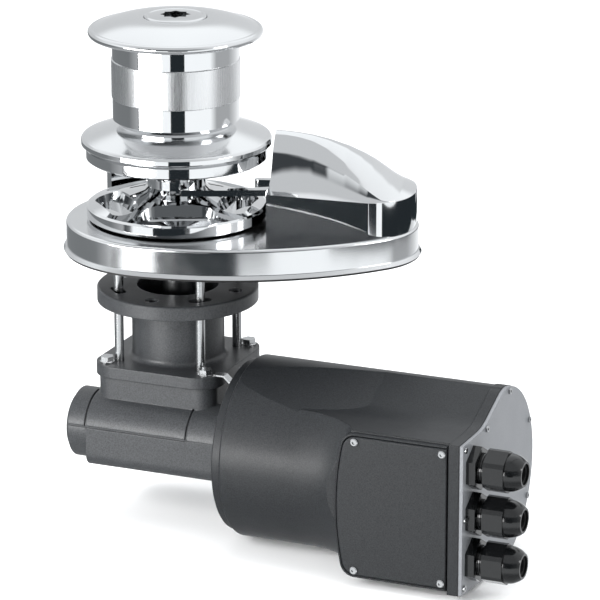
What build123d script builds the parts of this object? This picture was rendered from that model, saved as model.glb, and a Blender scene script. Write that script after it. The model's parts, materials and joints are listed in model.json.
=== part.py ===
"""Vertical anchor windlass: deck unit, chain wheel, drum, worm gearbox and electric motor.

The frame has its origin on the main shaft axis at the deck plane, with Z up the shaft and X to
the right of the windlass as seen from its front. All sizes are in millimetres.
"""
import os
from math import cos, pi, radians, sin, sqrt

from build123d import *

os.makedirs("parts", exist_ok=True)

# Fits and common gaps
running_fit = 0.05
seat_fit = 0.02
turning_gap = 0.3

# Chain wheel radius, which sets the plan of the deck unit
wheel_radius = 73.6

# Deck unit: an oval base, turned a little about the shaft
base_yaw = -6.0
nose_margin = 19.4
nose_radius = wheel_radius + nose_margin
tail_radius = 60.0
tail_offset = wheel_radius + 66.1
side_radius = 242.0
gasket_thickness = 2.0
base_top = 26.0
base_plate_thickness = 6.0
base_wall = 5.0
lip_height = 3.0
lip_overhang = 2.5
rim_round = 2.5
shaft_boss_radius = 30.0
hawse_start = wheel_radius + 16.4
hawse_end = hawse_start + 60.0
hawse_width = 44.0
hawse_collar = 3.5

# Main shaft and clutch
shaft_radius = 12.5
shaft_tail_radius = 10.0
bush_wall = 4.5
clutch_mouth_radius = 38.0
clutch_root_radius = 35.0
clutch_depth = 8.5
key_width = 8.0
key_height = 7.0

# Chain wheel for 12 mm chain, with five link pockets in each flank
wheel_bottom = base_top + 1.2
wheel_height = 60.4
wheel_top = wheel_bottom + wheel_height
wheel_middle = (wheel_bottom + wheel_top) / 2.0
wheel_root_radius = 24.0
wheel_root_width = 11.0
wheel_mouth_width = 41.0
chain_wire = 12.0
chain_pitch = 36.0
pocket_count = 5
pocket_clearance = 1.0
pocket_start = -87.0
pocket_slope = 12.0
rim_chamfer = 2.0

# Warping drum: each height is measured from the one below it
drum_gap = 0.8
drum_bottom = wheel_top + drum_gap
barrel_radius = 52.2
drum_flange_radius = barrel_radius + 25.2
drum_rim_height = 6.6
drum_neck_radius = barrel_radius - 5.7
drum_neck_rise = 16.1
drum_neck_height = drum_bottom + drum_neck_rise
barrel_bottom = drum_neck_height + 5.5
band_bottom = barrel_bottom + 17.7
band_top = band_bottom + 32.1
band_rise = 0.7
barrel_top = band_top + 14.7
cap_overhang = 18.5
cap_radius = barrel_radius + cap_overhang
cap_rim_bottom = barrel_top + 3.5
cap_rim_height = 6.5
cap_rim_top = cap_rim_bottom + cap_rim_height
cap_rise = 8.7
cap_crown = cap_rim_top + cap_rise

# Clutch nut with the star socket for the handle
nut_radius = 25.0
nut_rise = 1.8
nut_top = cap_crown + nut_rise
nut_height = 23.0
nut_seat = nut_top - nut_height
handle_square = 17.5
socket_depth = 10.0
socket_floor = nut_top - socket_depth
shaft_top = socket_floor - 0.5

# Hood over the chain
hood_gap = 3.6
hood_inset = 4.0
hood_wall = 4.0
hood_crown = 67.0
hood_dome_start = wheel_radius - 1.6
hood_reach = tail_offset + tail_radius - hood_dome_start - 9.7
hood_mouth_half_width = 28.0
hood_tail_half_width = 47.2
hood_tail_station = tail_offset + 32.3
hood_corner_round = 10.0
hood_ledge = 57.0
scoop_mouth_radius = 17.0
scoop_tail_radius = 3.0
scoop_mouth_offset = 8.0
scoop_tail_offset = 2.0

# Chain stripper and its foot
stripper_thickness = 5.0
stripper_foot_x = wheel_radius + 6.4
stripper_foot_y = -18.0
stripper_foot_length = 7.0
stripper_foot_width = 11.0
stripper_screw_pitch = 5.6
stripper_tip_x = 8.0
stripper_tip_y = -33.5

# Chain guard behind the wheel
guard_radius = wheel_radius + 7.0
guard_thickness = 5.5
guard_height = 22.0
guard_start = 92.0
guard_sweep = 48.0
guard_screw_circle = guard_radius + 0.4 * guard_thickness
guard_screw_start = guard_start + 8.0
guard_screw_range = 28.0

# Chain pressure lever
lever_pin_radius = 4.0
lever_pivot_x = tail_offset + 21.3
lever_hub_radius = 7.5
lever_thickness = 8.0
lever_tip_x = wheel_radius - 7.6
lever_tip_y = 9.0
lever_width = 7.0

# Small screws that hold pieces on the base from below
small_screw_radius = 1.5
small_screw_head = 2.4
small_screw_reach = 9.0

# Below the deck: flange, column and top plate
motor_yaw = -23.0
deck_space = 31.0
flange_radius = 66.2
flange_thickness = 12.0
flange_recess_radius = 33.6
flange_recess_depth = 20.0
column_radius = 38.0
plate_top = -91.0
plate_thickness = 10.0
plate_width = 112.0
plate_corner = 22.0
stud_radius = 4.0
stud_thread_radius = 3.9
stud_circle = 51.5
stud_slot_length = 20.0
plate_bolt_pitch = 88.0
plate_bolt_radius = 3.0
plate_bolt_flats = 10.0
plate_bolt_head = 4.2
washer_thickness = 1.0
washer_radius = 6.1

# Gearbox
worm_offset = 40.0
worm_height = -146.0
worm_barrel_radius = 29.0
worm_bore_radius = 15.0
gearbox_bottom = worm_height - worm_barrel_radius
gearbox_half = 52.0
gearbox_corner = 14.0
gearbox_left = -69.0
gearbox_right = 78.0
chamber_radius = 31.0
panel_left = -52.6
panel_right = 37.7
parting_height = -140.5
groove_width = 1.6
groove_depth = 1.2
cover_thickness = 4.0
cover_width = 84.0
cover_spigot = 8.0
cover_bolt_pitch = 66.0
cover_bolt_radius = 2.5

# Worm set
worm_shaft_radius = 8.0
worm_root_radius = 9.4
worm_tip_radius = 11.9
worm_pitch = 6.0
worm_thread_length = 30.0
wheel_teeth = 28
gear_tip_radius = 27.9
gear_tooth_depth = 3.2
gear_width = 20.0

# Motor
motor_radius = 74.0
ring_radius = motor_radius - 4.0
ring_thickness = 8.0
motor_end = 298.0
end_plate_thickness = 3.0
motor_wall = 4.0
cover_bevel = 1.5
stator_start = 105.0
stator_length = 140.0
field_thickness = 14.0
armature_gap = 6.0
armature_start = 118.0
armature_length = 110.0
armature_slots = 12
armature_slot_depth = 7.0
armature_slot_width = 4.0
commutator_length = 25.0

# Terminal box moulded on the motor cover
box_reach = 6.0
box_front = worm_offset + motor_radius + box_reach
box_drop = 20.0
box_top = worm_height + motor_radius - box_drop
box_bottom_rise = 6.0
box_left = 197.0
box_bulge = 7.0
box_throat = 60.0
shoulder_round = 32.0
shoulder_slope = -23.0
shoulder_drop = 10.4
shoulder_start = 15.0
shoulder_run = 5.0
box_wall = 4.0
pad_height = 5.0
swell_length = 50.0
swell_overlap = 8.0
swell_depth = 30.0
lid_seal_thickness = 1.0
lid_thickness = 3.8
lid_gap = 0.6
lid_rim = 1.6
lid_corner = 12.0
lid_top = box_top - 1.5
lid_bottom = worm_height - motor_radius + box_bottom_rise + 1.0
lid_right = 284.5
lid_rim_height = 3.8
end_band_rise = 0.8
end_band_width = 8.9
lid_strip_rise = 4.6
lid_screw_pitch_x = 73.0
lid_screw_pitch_y = lid_top - lid_bottom - 13.0
lid_screw_inset = 7.5
lid_screw_radius = 2.2
lid_screw_head = 3.2
lid_left = box_left + 6.3

# Cable glands
gland_across = box_front - 17.0
gland_pitch = 38.0
gland_middle = worm_height - 7.0
gland_heights = (gland_middle + gland_pitch, gland_middle, gland_middle - gland_pitch)
gland_thread_radius = 12.0
gland_flats = 31.0
gland_corner_flats = gland_flats + 2.6
gland_base_length = 7.5
gland_neck_length = 5.6
gland_nut_length = 17.0
gland_dome_length = 13.0
gland_bore = 8.5

# Directions and planes shared by the pieces
motor_direction = Vector(cos(radians(motor_yaw)), sin(radians(motor_yaw)), 0)
front_direction = Vector(sin(radians(motor_yaw)), -cos(radians(motor_yaw)), 0)
base_direction = Vector(cos(radians(base_yaw)), sin(radians(base_yaw)), 0)
base_plane = Plane(origin=(0, 0, 0), x_dir=base_direction, z_dir=(0, 0, 1))
gear_plane = Plane(origin=(0, 0, 0), x_dir=motor_direction, z_dir=(0, 0, 1))
deck_bottom = -deck_space
ring_end = gearbox_right + ring_thickness
cover_end = motor_end - end_plate_thickness
motor_bottom = worm_height - motor_radius
motor_axis = Axis(front_direction * worm_offset + Vector(0, 0, worm_height), motor_direction)
box_strip = box_front + lid_strip_rise
stator_radius = motor_radius - motor_wall - seat_fit
stator_bore = stator_radius - field_thickness
armature_radius = stator_bore - armature_gap


def across_motor(station):
    """Plane square to the motor axis: x toward the front, y up from the worm axis."""
    origin = motor_direction * station + Vector(0, 0, worm_height)
    return Plane(origin=origin, x_dir=front_direction, z_dir=motor_direction * -1)


def facing_front(distance):
    """Plane parallel to the motor axis: x along the motor, y up from the worm axis."""
    origin = front_direction * distance + Vector(0, 0, worm_height)
    return Plane(origin=origin, x_dir=motor_direction, z_dir=front_direction)


def side_arc_centre():
    """Centre of the long side arc that touches both end arcs of the base from inside."""
    left = side_radius - nose_radius
    right = side_radius - tail_radius
    along = (tail_offset ** 2 + left ** 2 - right ** 2) / (2 * tail_offset)
    return along, sqrt(left ** 2 - along ** 2)


def oval(inset):
    """Face of the base outline, moved in by a distance."""
    along, across = side_arc_centre()
    side = side_radius - inset
    nose_scale = side / sqrt(along ** 2 + across ** 2)
    tail_scale = side / sqrt((tail_offset - along) ** 2 + across ** 2)
    nose_x = along - along * nose_scale
    nose_y = across * nose_scale - across
    tail_x = along + (tail_offset - along) * tail_scale
    tail_y = across * tail_scale - across
    with BuildSketch(Plane.XY, mode=Mode.PRIVATE) as outline:
        with BuildLine():
            ThreePointArc((nose_x, nose_y), (-(nose_radius - inset), 0), (nose_x, -nose_y))
            ThreePointArc((nose_x, -nose_y), (along, across - side), (tail_x, -tail_y))
            ThreePointArc((tail_x, -tail_y), (tail_offset + tail_radius - inset, 0), (tail_x, tail_y))
            ThreePointArc((tail_x, tail_y), (along, side - across), (nose_x, nose_y))
        make_face()
    return outline.sketch


# Deck unit: base, gasket, bush and seal
hawse_centre = (hawse_start + hawse_end) / 2
hawse_length = hawse_end - hawse_start

with BuildPart() as base:
    with BuildSketch(base_plane.offset(gasket_thickness)):
        add(oval(lip_overhang))
    extrude(amount=base_top - gasket_thickness)
    fillet(base.faces().sort_by(Axis.Z)[-1].edges(), rim_round)
    with BuildSketch(base_plane.offset(gasket_thickness)):
        add(oval(0))
    extrude(amount=lip_height, taper=30)
    with BuildSketch(base_plane.offset(gasket_thickness)):
        add(oval(lip_overhang + base_wall))
    extrude(amount=base_top - base_plate_thickness - gasket_thickness, mode=Mode.SUBTRACT)
    with BuildSketch(base_plane.offset(gasket_thickness)):
        Circle(shaft_boss_radius)
        with Locations((hawse_centre, 0)):
            SlotOverall(hawse_length + 2 * hawse_collar, hawse_width + 2 * hawse_collar)
    extrude(amount=base_top - base_plate_thickness - gasket_thickness + 1)
    with BuildSketch(gear_plane.offset(gasket_thickness)):
        with PolarLocations(stud_circle, 4, start_angle=45):
            Circle(2.2 * stud_radius)
    extrude(amount=base_top - base_plate_thickness - gasket_thickness + 1)
    with BuildSketch(base_plane.offset(gasket_thickness + 6)):
        with PolarLocations((nose_radius + shaft_boss_radius) / 2 - 4, 4, start_angle=135):
            Rectangle(nose_radius - shaft_boss_radius, 4)
    extrude(amount=base_top - base_plate_thickness - gasket_thickness - 5)
    with BuildSketch(base_plane):
        Circle(shaft_radius + bush_wall)
        with Locations((hawse_centre, 0)):
            SlotOverall(hawse_length, hawse_width)
    extrude(amount=base_top + 1, mode=Mode.SUBTRACT)
    with BuildSketch(gear_plane):
        with PolarLocations(stud_circle, 4, start_angle=45):
            Circle(stud_thread_radius + seat_fit)
    extrude(amount=base_top - base_plate_thickness, mode=Mode.SUBTRACT)
    with BuildSketch(base_plane.offset(gasket_thickness)):
        with Locations((stripper_foot_x, stripper_foot_y)):
            with GridLocations(1, stripper_screw_pitch, 1, 2):
                Circle(small_screw_radius)
        with PolarLocations(guard_screw_circle, 2, guard_screw_start, guard_screw_range):
            Circle(small_screw_radius)
        with Locations((lever_pivot_x, 0)):
            Circle(lever_pin_radius + seat_fit)
    extrude(amount=base_top, mode=Mode.SUBTRACT)
base.part.label = "base"
export_step(base.part, "parts/base.step")

with BuildPart() as base_gasket:
    with BuildSketch(base_plane):
        add(oval(1.2))
        Circle(shaft_radius + bush_wall + 2, mode=Mode.SUBTRACT)
        with Locations((hawse_centre, 0)):
            SlotOverall(hawse_length, hawse_width, mode=Mode.SUBTRACT)
        with PolarLocations(stud_circle, 4, start_angle=45 + motor_yaw - base_yaw):
            Circle(1.1 * stud_radius, mode=Mode.SUBTRACT)
    extrude(amount=gasket_thickness)
base_gasket.part.label = "base_gasket"
export_step(base_gasket.part, "parts/base_gasket.step")

with BuildPart() as upper_bush:
    with BuildSketch(Plane.XY.offset(gasket_thickness + 2)):
        Circle(shaft_radius + bush_wall - seat_fit)
        Circle(shaft_radius + running_fit, mode=Mode.SUBTRACT)
    extrude(amount=base_top - gasket_thickness - 6)
upper_bush.part.label = "upper_bush"
export_step(upper_bush.part, "parts/upper_bush.step")

with BuildPart() as deck_seal:
    with BuildSketch(Plane.XY.offset(base_top - 4)):
        Circle(shaft_radius + bush_wall - seat_fit)
        Circle(shaft_radius + running_fit, mode=Mode.SUBTRACT)
    extrude(amount=4)
    chamfer(deck_seal.faces().sort_by(Axis.Z)[-1].edges().sort_by(SortBy.RADIUS)[0], 1.2)
deck_seal.part.label = "deck_seal"
export_step(deck_seal.part, "parts/deck_seal.step")


# Hood: a dome turned about the shaft, cut to a wedge that opens toward the chain wheel
def hood_plan(inset):
    """Plan of the hood, moved in by a distance."""
    mouth = wheel_radius + hood_gap + 4
    with BuildSketch(Plane.XY, mode=Mode.PRIVATE) as plan:
        with BuildLine():
            Polyline(
                (hood_dome_start - 12, hood_mouth_half_width - 2.5 - inset),
                (hood_tail_station + 40, hood_tail_half_width + 8 - inset),
                (hood_tail_station + 40, inset - hood_tail_half_width - 8),
                (hood_dome_start - 12, inset + 2.5 - hood_mouth_half_width),
                close=True,
            )
        make_face()
        with BuildSketch(mode=Mode.INTERSECT):
            with Locations((tail_offset, 0)):
                Circle(tail_radius - hood_inset - inset)
                Rectangle(tail_offset, 4 * tail_radius, align=(Align.MAX, Align.CENTER))
        Circle(mouth, mode=Mode.SUBTRACT)
        corners = plan.vertices().filter_by_position(Axis.X, tail_offset + 1, tail_offset + tail_radius)
        fillet(corners, hood_corner_round)
    return plan.sketch


def hood_profile(inset):
    """Half section of the dome, turned about the shaft to give the top of the hood."""
    with BuildSketch(Plane.XZ, mode=Mode.PRIVATE) as section:
        with Locations((hood_dome_start, base_top)):
            Ellipse(hood_reach - inset, hood_crown - inset)
        with Locations((hood_dome_start / 2, base_top)):
            Rectangle(hood_dome_start, 2 * (hood_crown - inset))
        with Locations((0, base_top)):
            Rectangle(4 * hood_reach, 4 * hood_crown, align=(Align.CENTER, Align.MAX), mode=Mode.SUBTRACT)
            Rectangle(4 * hood_reach, 4 * hood_crown, align=(Align.MAX, Align.CENTER), mode=Mode.SUBTRACT)
    return section.sketch


def hood_scoop(side):
    """Tapered hollow above the ledge, on one side of the hood."""
    run = hood_tail_station - hood_dome_start
    mouth = Vector(
        hood_dome_start - 10,
        side * (hood_mouth_half_width + scoop_mouth_offset - 2),
        hood_ledge + scoop_mouth_radius + 1,
    )
    tail = Vector(
        hood_tail_station - 6,
        side * (hood_tail_half_width + scoop_tail_offset),
        hood_ledge + scoop_tail_radius + 1,
    )
    with BuildPart(mode=Mode.PRIVATE) as scoop:
        with Locations(Plane(origin=mouth, z_dir=tail - mouth).location):
            Cone(
                scoop_mouth_radius,
                scoop_tail_radius,
                run + 4,
                align=(Align.CENTER, Align.CENTER, Align.MIN),
            )
    return scoop.part


with BuildPart() as hood_shell:
    with BuildSketch():
        add(hood_plan(0))
    extrude(amount=base_top + 2 * hood_crown)
    with BuildSketch(Plane.XZ):
        add(hood_profile(0))
    revolve(axis=Axis.Z, mode=Mode.INTERSECT)
    add(hood_scoop(1), mode=Mode.SUBTRACT)
    add(hood_scoop(-1), mode=Mode.SUBTRACT)

with BuildPart() as hood_space:
    with BuildSketch():
        add(hood_plan(hood_wall))
    extrude(amount=hood_ledge + 1.3)
    with BuildSketch():
        add(hood_plan(hood_wall + 9))
    extrude(amount=2 * hood_crown)
    with BuildSketch(Plane.XZ):
        add(hood_profile(hood_wall))
    revolve(axis=Axis.Z, mode=Mode.INTERSECT)

with BuildPart() as hood:
    add(hood_shell.part.rotate(Axis.Z, base_yaw))
    add(hood_space.part.rotate(Axis.Z, base_yaw), mode=Mode.SUBTRACT)
hood.part.label = "hood"
export_step(hood.part, "parts/hood.step")


# Main shaft with its two keys
drum_key_middle = (barrel_bottom + nut_seat) / 2
drum_key_length = 40.0
key_centre = shaft_radius

with BuildPart() as shaft:
    with BuildSketch(Plane.XY.offset(gearbox_bottom + 1)):
        Circle(shaft_tail_radius)
    extrude(amount=worm_height - gear_width / 2 - gearbox_bottom)
    with BuildSketch(Plane.XY.offset(worm_height - gear_width / 2)):
        Circle(shaft_radius)
    extrude(amount=shaft_top - worm_height + gear_width / 2)
    chamfer(shaft.faces().sort_by(Axis.Z)[-1].edges(), 1.0)
    with Locations((key_centre, 0, drum_key_middle)):
        Box(key_height, key_width, drum_key_length, mode=Mode.SUBTRACT)
    with Locations((key_centre, 0, worm_height)):
        Box(key_height, key_width, gear_width, mode=Mode.SUBTRACT)
shaft.part.label = "shaft"
export_step(shaft.part, "parts/shaft.step")

with BuildPart() as shaft_keys:
    with Locations((key_centre, 0, drum_key_middle)):
        Box(key_height - seat_fit, key_width - seat_fit, drum_key_length - seat_fit)
    with Locations((key_centre, 0, worm_height)):
        Box(key_height - seat_fit, key_width - seat_fit, gear_width)
shaft_keys.part.label = "shaft_keys"
export_step(shaft_keys.part, "parts/shaft_keys.step")

# Lower clutch cone, keyed to the shaft under the chain wheel
with BuildPart() as lower_cone:
    with BuildSketch(Plane.XZ):
        with BuildLine():
            Polyline(
                (shaft_radius + seat_fit, base_top + turning_gap),
                (clutch_mouth_radius + 4, base_top + turning_gap),
                (clutch_mouth_radius + 4, wheel_bottom - turning_gap),
                (clutch_mouth_radius - turning_gap, wheel_bottom - turning_gap),
                (clutch_root_radius - turning_gap, wheel_bottom + clutch_depth - turning_gap),
                (shaft_radius + seat_fit, wheel_bottom + clutch_depth - turning_gap),
                close=True,
            )
        make_face()
    revolve(axis=Axis.Z)
lower_cone.part.label = "lower_cone"
export_step(lower_cone.part, "parts/lower_cone.step")


# Chain wheel: a vee groove with a link pocket in each flank for every second link, and clutch recesses
pocket_floor_length = 2 * chain_pitch - chain_wire - 2 * pocket_clearance
pocket_floor_width = 2 * (chain_wire - 2 * pocket_clearance)
pocket_radius = chain_pitch / (2 * sin(pi / (2 * pocket_count))) - chain_wire / 2
link_half_width = 1.8 * chain_wire
flute_count = 2 * pocket_count
flute_width = 3.0
flute_length = 16.0
flute_radius = wheel_root_radius + flute_length / 2
flank_foot = wheel_middle - wheel_mouth_width / 2
flank_top = wheel_middle + wheel_mouth_width / 2

with BuildPart() as gypsy:
    with BuildSketch(Plane.XZ):
        with BuildLine():
            Polyline(
                (shaft_radius + turning_gap, wheel_bottom + clutch_depth),
                (clutch_root_radius, wheel_bottom + clutch_depth),
                (clutch_mouth_radius, wheel_bottom),
                (wheel_radius - rim_chamfer, wheel_bottom),
                (wheel_radius, wheel_bottom + rim_chamfer),
                (wheel_radius, flank_foot),
                (wheel_radius - rim_chamfer, flank_foot + 1.5),
                (wheel_root_radius + 3, wheel_middle - wheel_root_width / 2 - 1),
                (wheel_root_radius, wheel_middle - wheel_root_width / 2 + 2),
                (wheel_root_radius, wheel_middle + wheel_root_width / 2 - 2),
                (wheel_root_radius + 3, wheel_middle + wheel_root_width / 2 + 1),
                (wheel_radius - rim_chamfer, flank_top - 1.5),
                (wheel_radius, flank_top),
                (wheel_radius, wheel_top - rim_chamfer),
                (wheel_radius - rim_chamfer, wheel_top),
                (clutch_mouth_radius, wheel_top),
                (clutch_root_radius, wheel_top - clutch_depth),
                (shaft_radius + turning_gap, wheel_top - clutch_depth),
                close=True,
            )
        make_face()
    revolve(axis=Axis.Z)
    for side in (1, -1):
        floor_plane = Plane(origin=(0, 0, wheel_middle - side * link_half_width), z_dir=(0, 0, side))
        with BuildSketch(floor_plane):
            with PolarLocations(pocket_radius, pocket_count, start_angle=side * pocket_start):
                SlotOverall(pocket_floor_length, pocket_floor_width, rotation=90)
        extrude(amount=link_half_width, taper=-pocket_slope, mode=Mode.SUBTRACT)
        with BuildSketch(floor_plane):
            with PolarLocations(flute_radius, flute_count, start_angle=side * pocket_start):
                Rectangle(flute_length, flute_width)
        extrude(amount=link_half_width, mode=Mode.SUBTRACT)
gypsy.part.label = "gypsy"
export_step(gypsy.part, "parts/gypsy.step")


# Warping drum, with the upper clutch cone under its lower flange
with BuildPart() as drum:
    with BuildSketch(Plane.XZ):
        with BuildLine():
            Polyline(
                (shaft_radius + seat_fit, nut_seat),
                (shaft_radius + seat_fit, wheel_top - clutch_depth + turning_gap),
                (clutch_root_radius - turning_gap, wheel_top - clutch_depth + turning_gap),
                (clutch_mouth_radius - turning_gap, wheel_top + turning_gap),
                (clutch_mouth_radius - turning_gap, drum_bottom),
                (drum_flange_radius - 1.2, drum_bottom),
                (drum_flange_radius, drum_bottom + 1.2),
                (drum_flange_radius, drum_bottom + drum_rim_height - 2),
            )
            ThreePointArc(
                (drum_flange_radius, drum_bottom + drum_rim_height - 2),
                (drum_flange_radius - 0.8, drum_bottom + drum_rim_height - 0.6),
                (drum_flange_radius - 3, drum_bottom + drum_rim_height + 0.6),
            )
            ThreePointArc(
                (drum_flange_radius - 3, drum_bottom + drum_rim_height + 0.6),
                ((drum_flange_radius + drum_neck_radius) / 2, drum_neck_height - 4.6),
                (drum_neck_radius, drum_neck_height),
            )
            ThreePointArc(
                (drum_neck_radius, drum_neck_height),
                (drum_neck_radius + 1.6, drum_neck_height + 2.6),
                (barrel_radius - band_rise, barrel_bottom),
            )
            Polyline(
                (barrel_radius - band_rise, barrel_bottom),
                (barrel_radius - band_rise, band_bottom),
                (barrel_radius, band_bottom + band_rise),
                (barrel_radius, band_top - band_rise),
                (barrel_radius - band_rise, band_top),
                (barrel_radius - band_rise, barrel_top),
            )
            ThreePointArc(
                (barrel_radius - band_rise, barrel_top),
                (barrel_radius + 3, barrel_top + 2.4),
                (barrel_radius + 9, barrel_top + 3),
            )
            Line((barrel_radius + 9, barrel_top + 3), (cap_radius - 4, cap_rim_bottom))
            ThreePointArc(
                (cap_radius - 4, cap_rim_bottom),
                (cap_radius, (cap_rim_bottom + cap_rim_top) / 2),
                (cap_radius - 4, cap_rim_top),
            )
            ThreePointArc(
                (cap_radius - 4, cap_rim_top),
                ((cap_radius + nut_radius) / 2, cap_rim_top + 0.71 * cap_rise),
                (nut_radius + 1, cap_crown),
            )
            Polyline(
                (nut_radius + 1, cap_crown),
                (nut_radius + turning_gap, cap_crown - 1),
                (nut_radius + turning_gap, nut_seat),
                (shaft_radius + seat_fit, nut_seat),
            )
        make_face()
    revolve(axis=Axis.Z)
    with Locations((key_centre, 0, drum_key_middle)):
        Box(key_height, key_width, drum_key_length, mode=Mode.SUBTRACT)
drum.part.label = "drum"
export_step(drum.part, "parts/drum.step")

with BuildPart() as clutch_nut:
    with BuildSketch(Plane.XZ):
        with BuildLine():
            Polyline(
                (0, nut_seat + turning_gap),
                (nut_radius, nut_seat + turning_gap),
                (nut_radius, cap_crown),
            )
            ThreePointArc(
                (nut_radius, cap_crown),
                (nut_radius - 1, cap_crown + 1),
                (nut_radius - 3, nut_top - 1),
            )
            ThreePointArc((nut_radius - 3, nut_top - 1), (nut_radius / 2, nut_top - 0.2), (0, nut_top))
            Line((0, nut_top), (0, nut_seat + turning_gap))
        make_face()
    revolve(axis=Axis.Z)
    with BuildSketch(Plane.XY.offset(socket_floor)):
        Rectangle(handle_square, handle_square)
        Rectangle(handle_square, handle_square, rotation=45)
    extrude(amount=nut_top, mode=Mode.SUBTRACT)
    with BuildSketch(Plane.XY.offset(nut_seat)):
        Circle(shaft_radius + running_fit)
    extrude(amount=socket_floor - nut_seat, mode=Mode.SUBTRACT)
clutch_nut.part.label = "clutch_nut"
export_step(clutch_nut.part, "parts/clutch_nut.step")


# Chain stripper: a finger in the groove of the chain wheel, on a foot inside the hood
stripper_bottom = wheel_middle - stripper_thickness
foot_front = stripper_foot_y - stripper_foot_width / 2
foot_back = stripper_foot_y + stripper_foot_width / 2
foot_end = stripper_foot_x + stripper_foot_length / 2

with BuildPart() as stripper_straight:
    with BuildSketch(Plane.XY.offset(stripper_bottom)):
        with BuildLine():
            front_edge = Spline(
                (foot_end, foot_front),
                ((foot_end + stripper_tip_x) / 2, (foot_front + stripper_tip_y) / 2 - 0.5),
                (stripper_tip_x, stripper_tip_y),
            )
            back_edge = Spline(
                (foot_end, foot_back),
                ((foot_end + stripper_tip_x) / 2, (foot_front + stripper_tip_y) / 2 + 5.5),
                (stripper_tip_x + 1, stripper_tip_y + 2.3),
            )
            Line(front_edge @ 0, back_edge @ 0)
            Line(front_edge @ 1, back_edge @ 1)
        make_face()
    extrude(amount=stripper_thickness)
    with BuildSketch(Plane.XY.offset(base_top)):
        with Locations((stripper_foot_x, stripper_foot_y)):
            Rectangle(stripper_foot_length, stripper_foot_width)
    extrude(amount=stripper_bottom - base_top)
    with BuildSketch(Plane.XY.offset(base_top)):
        with Locations((stripper_foot_x, stripper_foot_y)):
            with GridLocations(1, stripper_screw_pitch, 1, 2):
                Circle(small_screw_radius)
    extrude(amount=10, mode=Mode.SUBTRACT)

with BuildPart() as stripper:
    add(stripper_straight.part.rotate(Axis.Z, base_yaw))
stripper.part.label = "stripper"
export_step(stripper.part, "parts/stripper.step")

# Chain guard: a low wall behind the chain wheel
with BuildPart() as chain_guard:
    with BuildSketch(base_plane.offset(base_top)):
        with BuildLine():
            inner = CenterArc((0, 0), guard_radius, guard_start, guard_sweep)
            outer = CenterArc((0, 0), guard_radius + guard_thickness, guard_start, guard_sweep)
            Line(inner @ 0, outer @ 0)
            Line(inner @ 1, outer @ 1)
        make_face()
    extrude(amount=guard_height)
    fillet(chain_guard.faces().sort_by(Axis.Z)[-1].edges().filter_by(GeomType.CIRCLE), 1.5)
    with BuildSketch(base_plane.offset(base_top)):
        with PolarLocations(guard_screw_circle, 2, guard_screw_start, guard_screw_range):
            Circle(small_screw_radius)
    extrude(amount=10, mode=Mode.SUBTRACT)
chain_guard.part.label = "chain_guard"
export_step(chain_guard.part, "parts/chain_guard.step")

# Chain pressure lever on an upright pin under the hood
lever_bottom = wheel_middle + 0.5 - lever_thickness

with BuildPart() as lever_pin_straight:
    with BuildSketch(Plane.XY.offset(base_top - base_plate_thickness)):
        with Locations((lever_pivot_x, 0)):
            Circle(lever_pin_radius)
    extrude(amount=lever_bottom + lever_thickness + 2 - base_top + base_plate_thickness)
    with BuildSketch(Plane.XY.offset(base_top)):
        with Locations((lever_pivot_x, 0)):
            Circle(lever_hub_radius)
    extrude(amount=lever_bottom - turning_gap - base_top)

with BuildPart() as lever_pin:
    add(lever_pin_straight.part.rotate(Axis.Z, base_yaw))
lever_pin.part.label = "lever_pin"
export_step(lever_pin.part, "parts/lever_pin.step")

with BuildPart() as lever_straight:
    with BuildSketch(Plane.XY.offset(lever_bottom)):
        with BuildLine():
            front = Spline(
                (lever_pivot_x, -lever_width / 2),
                ((lever_pivot_x + lever_tip_x) / 2, lever_tip_y - lever_width),
                (lever_tip_x, lever_tip_y - lever_width / 2 - 2),
            )
            back = Spline(
                (lever_pivot_x, lever_width / 2),
                ((lever_pivot_x + lever_tip_x) / 2, lever_tip_y),
                (lever_tip_x, lever_tip_y + 1),
            )
            ThreePointArc(front @ 1, (lever_tip_x - 3, lever_tip_y - 2), back @ 1)
            Line(front @ 0, back @ 0)
        make_face()
        with Locations((lever_pivot_x, 0)):
            Circle(lever_hub_radius)
            Circle(lever_pin_radius + running_fit, mode=Mode.SUBTRACT)
    extrude(amount=lever_thickness)

with BuildPart() as pressure_lever:
    add(lever_straight.part.rotate(Axis.Z, base_yaw))
pressure_lever.part.label = "pressure_lever"
export_step(pressure_lever.part, "parts/pressure_lever.step")

with BuildPart() as deck_screws_straight:
    with BuildSketch(Plane.XY.offset(base_top - base_plate_thickness)):
        with Locations((stripper_foot_x, stripper_foot_y)):
            with GridLocations(1, stripper_screw_pitch, 1, 2):
                Circle(small_screw_radius - seat_fit)
        with PolarLocations(guard_screw_circle, 2, guard_screw_start, guard_screw_range):
            Circle(small_screw_radius - seat_fit)
    extrude(amount=base_plate_thickness + small_screw_reach)
    with BuildSketch(Plane.XY.offset(base_top - base_plate_thickness)):
        with Locations((stripper_foot_x, stripper_foot_y)):
            with GridLocations(1, stripper_screw_pitch, 1, 2):
                Circle(small_screw_head)
        with PolarLocations(guard_screw_circle, 2, guard_screw_start, guard_screw_range):
            Circle(small_screw_head)
    extrude(amount=-2.2)

with BuildPart() as deck_screws:
    add(deck_screws_straight.part.rotate(Axis.Z, base_yaw))
deck_screws.part.label = "deck_screws"
export_step(deck_screws.part, "parts/deck_screws.step")


# Studs between the base and the top plate of the gearbox
stud_grip = 8.0

with BuildPart() as studs:
    with BuildSketch(gear_plane.offset(plate_top - stud_grip)):
        with PolarLocations(stud_circle, 4, start_angle=45):
            Circle(stud_thread_radius)
    extrude(amount=base_top - base_plate_thickness - 2 - plate_top + stud_grip)
    chamfer(studs.edges().filter_by(GeomType.CIRCLE), 0.6)
    with BuildSketch(gear_plane.offset(deck_bottom)):
        with PolarLocations(stud_circle, 4, start_angle=45):
            Circle(stud_radius)
    extrude(amount=deck_space)
studs.part.label = "studs"
export_step(studs.part, "parts/studs.step")

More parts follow.
